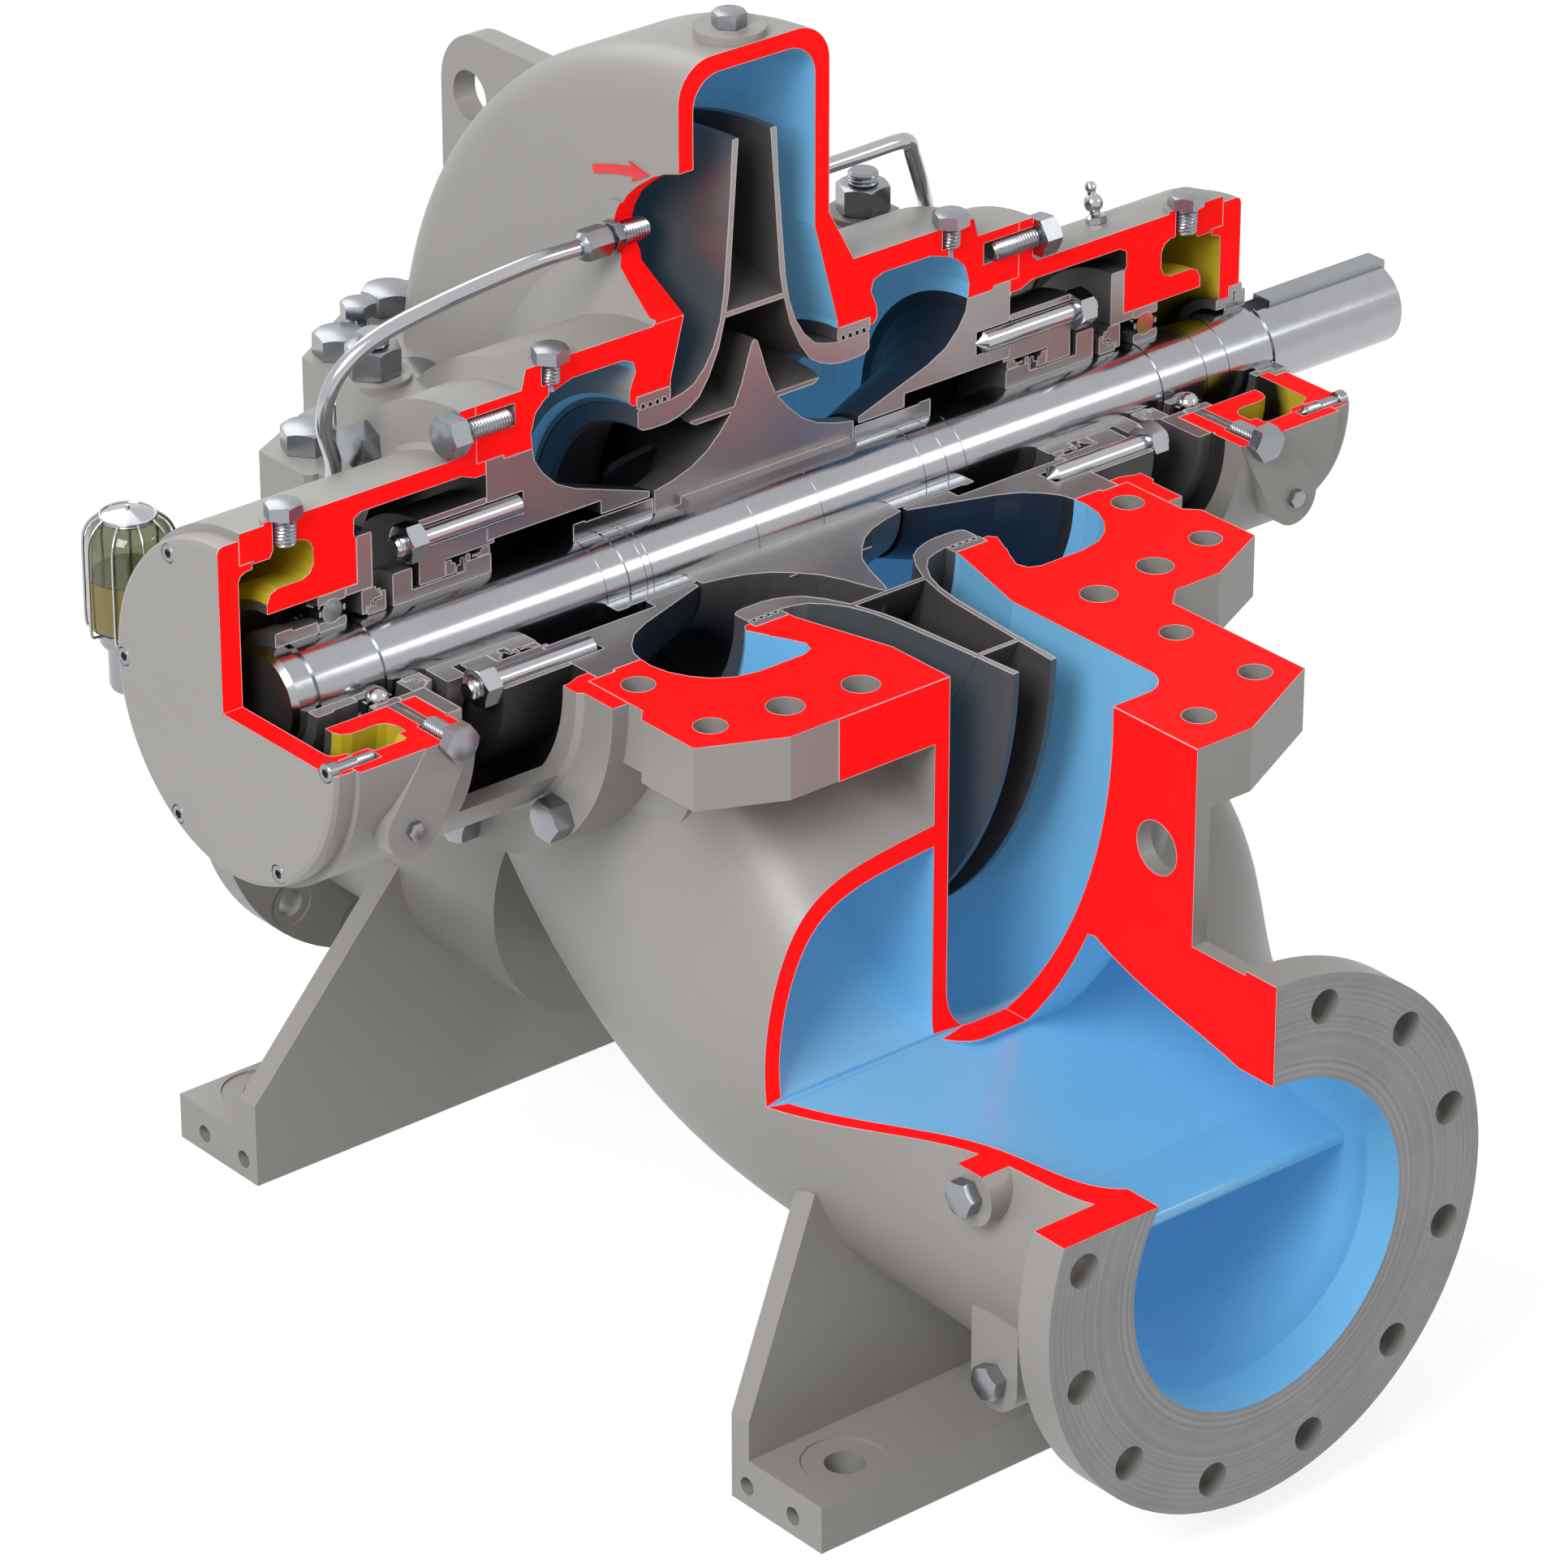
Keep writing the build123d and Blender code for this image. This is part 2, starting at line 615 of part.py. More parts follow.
# End covers
blind_cover = [
    (cover_face, 0.0), (cover_face, 120.0), (470.5, 123.5), (467.0, 125.0), (housing_end, 125.0),
    (housing_end, 106.0), (443.0, 106.0), (443.0, 100.5), (449.0, 100.0), (453.0, 98.0),
    (455.0, 94.0), (455.0, 0.0),
]
open_cover = [
    (cover_face, 54.0), (cover_face, 120.0), (470.5, 123.5), (467.0, 125.0), (housing_end, 125.0),
    (housing_end, 106.0), (443.0, 106.0), (443.0, 100.5), (447.0, 100.0), (450.5, 98.0),
    (451.5, 94.0), (451.5, 45.5), (462.0, 45.5), (462.0, 54.0),
]
screws = []
for hand, name in ((-1, "left"), (1, "right")):
    with BuildPart() as end_cover:
        add(ring(flip(blind_cover) if hand < 0 else open_cover, section_arc))
        for angle in screw_angles:
            place = screw_spot(hand, angle)
            add(hole(place, 4.9, 14.0), mode=Mode.SUBTRACT)
            add(pin(place, 7.2, 12.0), mode=Mode.SUBTRACT)
            screws.append(place * cap_screw(6.8, 8.2, 4.5, 34.0))
    save(end_cover.part, f"{name}_end_cover")
gather(screws, "cover_screws")

# Labyrinth grooves of the wear rings, and the groove that the balls run in as (x, depth) pairs
labyrinth = (102.0, 95.5, 89.0, 82.5)
ball_circle = 48.5
ball_radius = 8.7
ball_x = 377.1
track_radius = ball_radius + 0.1
track_half = math.sqrt(track_radius ** 2 - 6.5 ** 2)
ball_track = []
for index in range(9):
    x = track_half * (index / 4.0 - 1.0)
    ball_track.append((x, math.sqrt(track_radius ** 2 - x ** 2)))

# Seal chambers
seal_chamber = [
    (97.0, 49.6), (97.0, 54.5), (163.0, 76.5), (180.0, 85.0), (192.0, 97.0), (199.0, 108.0),
    (chamber_outer, chamber_bore), (226.0, chamber_bore), (226.0, spigot_radius),
    (spigot_end, spigot_radius), (spigot_end, 60.0), (141.0, 60.0), (141.0, 49.6),
]
glands = [
    (spigot_end - 6.0, 57.0), (spigot_end - 6.0, 60.0), (spigot_end, 60.0), (spigot_end, 93.5),
    (302.0, 93.5), (302.0, 44.0), (279.0, 44.0), (279.0, 57.0),
]
stud_circle = 79.7
for hand, word in ((-1, "left"), (1, "right")):
    with BuildPart() as chamber_ring:
        add(ring(seal_chamber if hand > 0 else flip(seal_chamber), section_arc))
        with BuildSketch(end_plane.offset(hand * spigot_end)):
            with PolarLocations(stud_circle, 4):
                Circle(9.0)
        extrude(amount=-hand * 32.0, mode=Mode.SUBTRACT)
    save(chamber_ring.part, f"{word}_seal_chamber")
    with BuildPart() as gland_ring:
        add(ring(glands if hand > 0 else flip(glands), section_arc))
        with BuildSketch(end_plane.offset(hand * spigot_end)):
            with PolarLocations(stud_circle, 4):
                Circle(9.0)
        extrude(amount=hand * 61.0, mode=Mode.SUBTRACT)
    save(gland_ring.part, f"{word}_gland")
    with BuildPart() as gland_studs:
        for turn in (0, 90, 180, 270):
            angle = math.radians(turn)
            across = stud_circle * math.cos(angle)
            up = stud_circle * math.sin(angle)
            stud_seat = spot(hand * 302.0, across, up, (hand, 0, 0))
            add(stud_seat * stud_nut(8.3, 7.0, 15.0, 84.0))
    save(gland_studs.part, f"{word}_gland_studs")
    seat = [
        (342.0, 98.0), (355.0, 98.0), (355.0, 62.4), (365.0, 62.4), (365.0, 56.0), (342.0, 56.0),
    ]
    save(ring(seat if hand > 0 else flip(seat), section_arc), f"{word}_inner_cover")
    outer_race = [(365.2, 55.0), (365.2, 62.45), (389.0, 62.45), (389.0, 55.0)]
    for x, depth in reversed(ball_track):
        outer_race.append((ball_x + x, ball_circle + depth))
    save(ring(outer_race if hand > 0 else flip(outer_race), section_arc), f"{word}_outer_race")
    inner_race = [(389.0, 42.0), (389.0, 35.0), (365.2, 35.0), (365.2, 42.0)]
    for x, depth in ball_track:
        inner_race.append((ball_x + x, ball_circle - depth))
    save(ring(inner_race if hand > 0 else flip(inner_race), section_arc), f"{word}_inner_race")
    wear = [(ring_inner, ring_seat), (ring_outer, ring_seat), (ring_outer, eye_ring + ring_gap)]
    for x in labyrinth:
        wear.append((x + 1.5, eye_ring + ring_gap))
        wear.append((x + 1.5, eye_ring + ring_gap + 3.0))
        wear.append((x - 1.5, eye_ring + ring_gap + 3.0))
        wear.append((x - 1.5, eye_ring + ring_gap))
    wear.append((ring_inner, eye_ring + ring_gap))
    save(ring(wear if hand > 0 else flip(wear), section_arc), f"{word}_wear_ring")
    sleeve = [(93.5, 35.1), (93.5, 48.0), (155.0, 48.0), (155.0, 49.2), (166.0, 49.2), (166.0, 35.1)]
    save(ring(sleeve if hand > 0 else flip(sleeve), section_arc), f"{word}_shaft_sleeve")
    collar = [
        (239.0, 35.1), (239.0, 50.0), (262.0, 50.0), (262.0, 43.0), (308.0, 43.0), (308.0, 60.0),
        (325.0, 60.0), (325.0, 35.1),
    ]
    save(ring(collar if hand > 0 else flip(collar), section_arc), f"{word}_seal_sleeve")
    isolator = [(331.0, 35.5), (331.0, 55.9), (352.0, 55.9), (352.0, 35.5)]
    save(ring(isolator if hand > 0 else flip(isolator), section_arc), f"{word}_isolator")

# Shaft
shaft_radius = shaft_seat
end_radius = 32.5
start_x = -436.0
stop_x = 616.0
step_x = 480.0
# Grooves along the shaft: start, width, depth
grooves = [
    (-419.0, 5.0, 2.2), (-363.0, 5.5, 1.6), (-164.0, 1.0, 0.5), (-144.0, 2.0, 1.0),
    (-128.0, 1.0, 0.5), (-122.0, 1.0, 0.5), (-25.0, 0.9, 0.4), (35.0, 0.9, 0.4),
    (132.0, 1.0, 0.5), (153.0, 1.2, 0.5), (171.0, 1.0, 0.5), (364.0, 2.0, 1.0),
    (409.0, 1.0, 0.5), (432.0, 1.0, 0.5), (474.0, 5.0, 1.5),
]
shaft_profile = [(start_x, 0.0), (start_x, shaft_radius - 4.0), (start_x + 4.0, shaft_radius)]
for groove_x, width, depth in grooves:
    shaft_profile.append((groove_x, shaft_radius))
    shaft_profile.append((groove_x, shaft_radius - depth))
    shaft_profile.append((groove_x + width, shaft_radius - depth))
    shaft_profile.append((groove_x + width, shaft_radius))
shaft_profile += [
    (step_x, shaft_radius), (step_x, end_radius), (stop_x - 3.0, end_radius),
    (stop_x, end_radius - 3.0), (stop_x, 0.0),
]
key_start = 496.0
key_width = 18.0
key_low = 25.5
key_top = 36.0
impeller_key_box = ((-68.0, -9.0, 28.0), (88.0, 9.0, 41.0))
with BuildPart() as shaft:
    with BuildSketch(side_plane):
        with BuildLine():
            Polyline(*shaft_profile, close=True)
        make_face()
    revolve(axis=shaft_axis)
    keyway = box_between(
        (key_start - 20.0, -key_width / 2.0, key_low), (stop_x + 5.0, key_width / 2.0, 60.0)
    )
    add(keyway, mode=Mode.SUBTRACT)
    add(box_between(*impeller_key_box), mode=Mode.SUBTRACT)
save(shaft.part, "shaft")
coupling_key = box_between((key_start, -key_width / 2.0, key_low), (stop_x, key_width / 2.0, key_top))
save(coupling_key, "coupling_key")
save(box_between(*impeller_key_box), "impeller_key")

# Impeller: hub, two shrouds and five curved vanes
shroud = [
    (107.0, 106.0), (103.0, 103.0), (95.0, 102.0), (80.0, 102.0), (70.0, 104.0), (60.0, 108.0),
    (51.0, 114.0), (42.0, 127.0), (33.0, 146.0), (26.0, 172.0), (23.0, 190.0), (20.0, 230.0),
    (17.0, 270.0), (14.5, impeller_radius), (20.0, impeller_radius), (22.0, 262.0), (25.0, 225.0),
    (28.5, 185.0), (32.0, 165.0), (38.0, 148.0), (46.0, 135.0), (56.0, 125.0), (66.0, 121.5),
    (76.0, eye_ring), (107.0, eye_ring),
]
hub = [
    (-92.5, 35.1), (-92.5, 53.0), (-75.0, 56.5), (-58.0, 62.0), (-44.0, 70.0), (-32.0, 81.0),
    (-20.0, 95.0), (-12.0, 113.0), (-6.0, 132.0), (-2.5, 142.0), (0.0, 144.0), (2.5, 142.0),
    (6.0, 132.0), (12.0, 113.0), (20.0, 95.0), (32.0, 81.0), (44.0, 70.0), (58.0, 62.0),
    (75.0, 56.5), (92.5, 53.0), (92.5, 35.1),
]
vane_rate = 0.00808
vane_thickness = 9.0


def vane_outline(start_angle):
    """Log-spiral vane outline in the end plane."""
    outer = []
    inner = []
    for index in range(11):
        reach = 84.0 * (impeller_radius / 84.0) ** (index / 10.0)
        turn = math.radians(start_angle - math.log(reach / 170.0) / vane_rate)
        half = 0.5 * vane_thickness / reach
        outer.append((reach * math.cos(turn + half), reach * math.sin(turn + half)))
        inner.append((reach * math.cos(turn - half), reach * math.sin(turn - half)))
    return outer, inner


shroud_left = ring(flip(shroud), full_arc)
shroud_right = ring(shroud, full_arc)
hub_body = ring(hub, full_arc)
vane_span = [(-104.0, 86.0), (-60.0, 105.0), (-38.0, 135.0), (-24.0, 180.0), (-17.0, 299.9),
             (17.0, 299.9), (24.0, 180.0), (38.0, 135.0), (60.0, 105.0), (62.0, 100.0), (20.0, 84.0),
             (-20.0, 84.0), (-62.0, 100.0)]
with BuildPart() as impeller:
    with BuildSketch(end_plane.offset(-60.0)):
        for number in range(5):
            outer, inner = vane_outline(90.0 + 72.0 * number)
            with BuildLine():
                Spline(*outer)
                Line(outer[-1], inner[-1])
                Spline(*reversed(inner))
                Line(inner[0], outer[0])
            make_face()
    extrude(amount=120.0)
    between_shrouds = [
        (-62.0, 97.0), (-51.0, 113.0), (-36.0, 146.0), (-28.0, 180.0), (-20.0, 300.9), (20.0, 300.9),
        (28.0, 180.0), (36.0, 146.0), (51.0, 113.0), (62.0, 97.0), (30.0, 80.0), (-30.0, 80.0),
    ]
    add(ring(between_shrouds, full_arc), mode=Mode.INTERSECT)
    add(shroud_left)
    add(shroud_right)
    add(hub_body)
    add(box_between(*impeller_key_box), mode=Mode.SUBTRACT)
    add(box_between((-200, -400, 0), (200, 0, 400)), mode=Mode.SUBTRACT)
impeller.part.label = "impeller"
export_step(impeller.part, "parts/impeller.step")

# Studs, bolts and plugs of the casing
casing_fixings = []
for hand in hand_pair:
    place = spot(hand * tall_stud[0], tall_stud[1], boss_top, (0, 0, 1))
    casing_fixings.append(place * stud_nut(bolt_radius, 10.0, 22.0, boss_top + 30.0))
    for x, y in rear_bolts:
        place = spot(hand * x, y, upper_plate, (0, 0, 1))
        casing_fixings.append(place * hex_screw(nut_corner, 17.0, bolt_radius, upper_plate + 30.0))
    place = spot(hand * jack_spot[0], jack_spot[1], upper_plate + 14.0, (0, 0, 1))
    casing_fixings.append(place * hex_screw(13.8, 12.0, jack_radius, 14.0))
gather(casing_fixings, "casing_bolts")
housing_bolts = []
for hand in hand_pair:
    for angle in housing_angles:
        housing_bolts.append(housing_spot(hand, angle) * hex_screw(14.2, 14.0, housing_thread, 44.0))
gather(housing_bolts, "housing_bolts")

plugs = []
for hand in hand_pair:
    plugs.append(spot(hand * 184.0, 0.0, 180.5, (0, 0, 1)) * hex_screw(13.9, 11.0, 7.5, 17.0))
    plugs.append(spot(hand * plug_x, 0.0, 132.0, (0, 0, 1)) * hex_screw(13.9, 11.0, 9.3, 21.0))
    plugs.append(spot(hand * side_plug_x, -131.0, 0.0, (0, -1, 0)) * hex_screw(13.9, 11.0, 7.7, 28.0))
    plugs.append(spot(hand * 410.0, -131.0, -57.0, (0, -1, 0)) * hex_screw(7.0, 5.0, 0.0, 0.0))
    plugs.append(spot(hand * 170.0, -tap_y, -tap_z, (hand, 0, 0)) * hex_screw(13.9, 11.0, 0.0, 0.0))
    plugs.append(spot(hand * 150.0, -ear_y, -ear_z, (hand, 0, 0)) * hex_screw(13.9, 11.0, 0.0, 0.0))
plugs.append(spot(0.0, 27.0, 373.5, (0, 0, 1)) * hex_screw(12.7, 11.0, 0.0, 0.0))
gather(plugs, "pipe_plugs")

# Bearing balls, lock nut and flush lines
with BuildPart() as balls:
    for hand in hand_pair:
        for index in range(12):
            angle = 30.0 * index
            if 90.0 < angle < 180.0:
                continue
            turn = math.radians(angle)
            across = ball_circle * math.cos(turn)
            up = ball_circle * math.sin(turn)
            with Locations((hand * ball_x, across, up + shaft_height)):
                Sphere(ball_radius)
    add(box_between((-600.0, -20.0, 0.0), (600.0, 0.0, 300.0)), mode=Mode.SUBTRACT)
save(balls.part, "bearing_balls")
lock_nut = [(389.4, 35.1), (389.4, 44.0), (411.0, 44.0), (411.0, 46.0), (426.0, 46.0), (426.0, 35.1)]
save(ring(flip(lock_nut), section_arc), "left_lock_nut")

tube_radius = 6.0
flush_routes = {
    "left": [
        (-103.0, 65.0, 222.0), (-190.0, 65.0, 222.0), (-300.0, 78.0, 190.0), (-330.0, 92.0, 110.0),
        (-318.0, 104.0, 88.0),
    ],
    "right": [(103.0, 65.0, 222.0), (178.0, 65.0, 222.0), (206.0, 70.0, 196.0), (222.0, 95.0, 152.0)],
}
for hand, word in ((-1, "left"), (1, "right")):
    route = [(x, y, z + shaft_height) for x, y, z in flush_routes[word]]
    with BuildPart() as flush_line:
        with BuildLine() as path:
            if word == "left":
                FilletPolyline(*route, radius=[120.0, 60.0, 20.0])
            else:
                FilletPolyline(*route, radius=[22.0, 22.0])
        with BuildSketch(Plane(origin=route[0], z_dir=(hand, 0, 0))):
            Circle(tube_radius)
        sweep()
        add(spot(hand * 72.0, flush_y, flush_z, (hand, 0, 0)) * hex_screw(12.7, 7.0, tap_hole - 0.1, 26.0))
        add(pin(spot(hand * 79.0, flush_y, flush_z, (hand, 0, 0)), 8.5, 3.0))
        with BuildSketch(Plane(origin=(hand * 82.0, flush_y, flush_z + shaft_height), z_dir=(hand, 0, 0))):
            RegularPolygon(11.6, 6)
        extrude(amount=22.0)
    save(flush_line.part, f"{word}_flush_tube")

# Constant level oiler on the left housing
oiler_x = -415.0
oiler_y = 178.0
with BuildPart() as oiler_body:
    add(pin(spot(oiler_x, 110.0, -45.0, (0, 1, 0)), 8.0, 68.0))
    add(ring([(-445.0, 0.0), (-385.0, 0.0), (-385.0, 130.05), (-445.0, 130.05)], full_arc), mode=Mode.SUBTRACT)
    add(pin(spot(oiler_x, oiler_y, -62.0, (0, 0, 1)), 15.0, 40.0))
    add(pin(spot(oiler_x, oiler_y, -24.0, (0, 0, 1)), 20.0, 14.0))
save(oiler_body.part, "oiler_body")
with BuildPart() as oiler_cup:
    with BuildSketch(Plane(origin=(oiler_x, oiler_y, shaft_height), x_dir=(1, 0, 0), z_dir=(0, -1, 0))):
        with BuildLine():
            Polyline((0, -10), (17, -10), (29, 4), (30, 46), (26, 62), (16, 72), (0, 76), close=True)
        make_face()
    revolve(axis=Axis((oiler_x, oiler_y, shaft_height), (0, 0, 1)))
save(oiler_cup.part, "oiler_cup")

# Grease nipple on the right housing
with BuildPart() as nipple:
    place = spot(352.0, 28.0, 127.2, (0, 0.22, 1))
    add(place * hex_screw(7.5, 6.0, 0.0, 0.0))
    add(pin(place, 4.5, 19.0))
    with Locations(place * Location((0, 0, 21))):
        Sphere(5.5)
save(nipple.part, "grease_nipple")
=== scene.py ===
"""Studio scene of a sectioned double suction split case pump.

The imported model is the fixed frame. Castings are dressed face by face, because a sectioned display
pump is painted by surface: bright red where the saw went through, sky blue where the liquid runs,
yellow in the oil chambers and warm grey where the casting is left as cast. Blender's lengths are
metres; the sizes of parts are written in millimetres from the shaft axis.
"""
import json
import logging
import math
from collections.abc import Callable, Mapping, Sequence
from dataclasses import astuple, dataclass
from enum import Enum
from functools import cached_property
from typing import ClassVar

import bmesh
import bpy
from bpy.types import ID, Material, Node, NodeSocket, NodeTree, Object
from mathutils import Euler, Matrix, Vector

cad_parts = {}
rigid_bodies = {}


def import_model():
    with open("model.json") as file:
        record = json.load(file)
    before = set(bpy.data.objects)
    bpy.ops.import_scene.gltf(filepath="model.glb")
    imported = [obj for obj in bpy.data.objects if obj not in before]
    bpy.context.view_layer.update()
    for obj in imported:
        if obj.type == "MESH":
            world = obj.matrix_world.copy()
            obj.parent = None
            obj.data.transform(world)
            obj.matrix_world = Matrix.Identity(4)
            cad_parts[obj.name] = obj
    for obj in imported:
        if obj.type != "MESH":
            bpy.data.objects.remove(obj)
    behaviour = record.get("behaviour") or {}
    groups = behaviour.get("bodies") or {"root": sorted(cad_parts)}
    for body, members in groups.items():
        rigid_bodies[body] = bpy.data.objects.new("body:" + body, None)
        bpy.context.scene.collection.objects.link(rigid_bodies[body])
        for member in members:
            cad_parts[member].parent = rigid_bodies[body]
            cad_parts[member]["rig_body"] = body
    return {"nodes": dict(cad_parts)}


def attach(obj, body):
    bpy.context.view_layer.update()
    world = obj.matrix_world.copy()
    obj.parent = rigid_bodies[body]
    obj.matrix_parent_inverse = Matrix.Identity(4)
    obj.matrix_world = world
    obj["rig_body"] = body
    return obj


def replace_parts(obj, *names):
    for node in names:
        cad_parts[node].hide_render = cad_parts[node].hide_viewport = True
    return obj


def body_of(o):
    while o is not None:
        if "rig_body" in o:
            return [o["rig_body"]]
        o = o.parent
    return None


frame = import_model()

log = logging.getLogger("pump")

Pair = tuple[float, float]
Triple = tuple[float, float, float]
Feed = NodeSocket | float | tuple[float, ...]
Feeds = Mapping[int | str, Feed]

AXIS_HEIGHT = 0.580
SHAFT = Vector((0.0, 0.0, AXIS_HEIGHT))
WHITE = (1.0, 1.0, 1.0, 1.0)


def polar(radius: float, turn: float) -> Pair:
    """Point on a circle at an angle in radians."""
    return radius * math.cos(turn), radius * math.sin(turn)


def shaft_point(x: float, y: float, z: float) -> Vector:
    """Point in metres from millimetres off the shaft axis."""
    return Vector((x, y, z)) * 0.001 + SHAFT


# Shader node groups shared by the finishes


def add_node(tree: NodeTree, kind: str, feeds: Feeds, **settings: object) -> Node:
    """Add a shader node, set it up and feed its inputs.

    Args:
        tree: Node tree that gets the node.
        kind: Node type without the ShaderNode prefix.
        feeds: Socket or plain value for each fed input, by its name or number.
        **settings: Attributes to set on the node.

    Returns:
        The new node.
    """
    made = tree.nodes.new("ShaderNode" + kind)
    for name, value in settings.items():
        setattr(made, name, value)
    for key, value in feeds.items():
        if isinstance(value, NodeSocket):
            tree.links.new(value, made.inputs[key])
        else:
            made.inputs[key].default_value = value
    return made


class GroupMaker:
    """Builds one shader node group."""

    kinds: ClassVar[dict[int, str]] = {1: "NodeSocketFloat", 3: "NodeSocketVector", 4: "NodeSocketColor"}

    def __init__(self, name: str, inputs: Mapping[str, float | tuple[float, ...]], outputs: Sequence[str]) -> None:
        """Make the empty group.

        Args:
            name: Group name.
            inputs: Starting value of each input: a number, a vector of three or a colour of four.
            outputs: Names of the outputs. Colour is a colour and the others are numbers.
        """
        self.tree = bpy.data.node_groups.new(name, "ShaderNodeTree")
        new_socket = self.tree.interface.new_socket
        for label, start in inputs.items():
            kind = self.kinds[len(start) if isinstance(start, tuple) else 1]
            new_socket(label, in_out="INPUT", socket_type=kind).default_value = start
        for label in outputs:
            new_socket(label, in_out="OUTPUT", socket_type=self.kinds[4 if label == "Colour" else 1])
        self.given = self.tree.nodes.new("NodeGroupInput").outputs
        self.place = add_node(self.tree, "TexCoord", {}).outputs["Object"]

    def math(self, operation: str, a: Feed, b: Feed, clamp: bool = False) -> NodeSocket:
        """Result of a math node, held between 0 and 1 where clamp is set."""
        return add_node(self.tree, "Math", {0: a, 1: b}, operation=operation, use_clamp=clamp).outputs[0]

    def weigh(self, a: Feed, a_share: float, b: Feed, b_share: float) -> NodeSocket:
        """Sum of two values by their shares."""
        return self.math("ADD", self.math("MULTIPLY", a, a_share), self.math("MULTIPLY", b, b_share))

    def vector(self, operation: str, *feeds: Feed) -> NodeSocket:
        """Result of a vector math node."""
        made = add_node(self.tree, "VectorMath", dict(enumerate(feeds)), operation=operation)
        return made.outputs["Value" if operation in ("LENGTH", "DOT_PRODUCT") else "Vector"]

    def join(self, kind: str, *parts: Feed) -> NodeSocket:
        """Numbers joined to a vector, with kind XYZ, or to a colour, with kind Color."""
        return add_node(self.tree, "Combine" + kind, dict(enumerate(parts))).outputs[0]

    def noise(self, place: Feed, scale: Feed, detail: float) -> NodeSocket:
        """Value of a noise texture."""
        return add_node(self.tree, "TexNoise", {"Vector": place, "Scale": scale, "Detail": detail}).outputs["Fac"]

    def mix(self, factor: Feed, a: Feed, b: Feed, blend: str = "MIX") -> NodeSocket:
        """Mix of two colours."""
        return add_node(self.tree, "Mix", {0: factor, 6: a, 7: b}, data_type="RGBA", blend_type=blend).outputs[2]

    def finish(self, **results: NodeSocket) -> NodeTree:
        """Feed the outputs.

        Args:
            **results: Socket for each output.

        Returns:
            The finished group.
        """
        sink = self.tree.nodes.new("NodeGroupOutput")
        for label, value in results.items():
            self.tree.links.new(value, sink.inputs[label])
        return self.tree


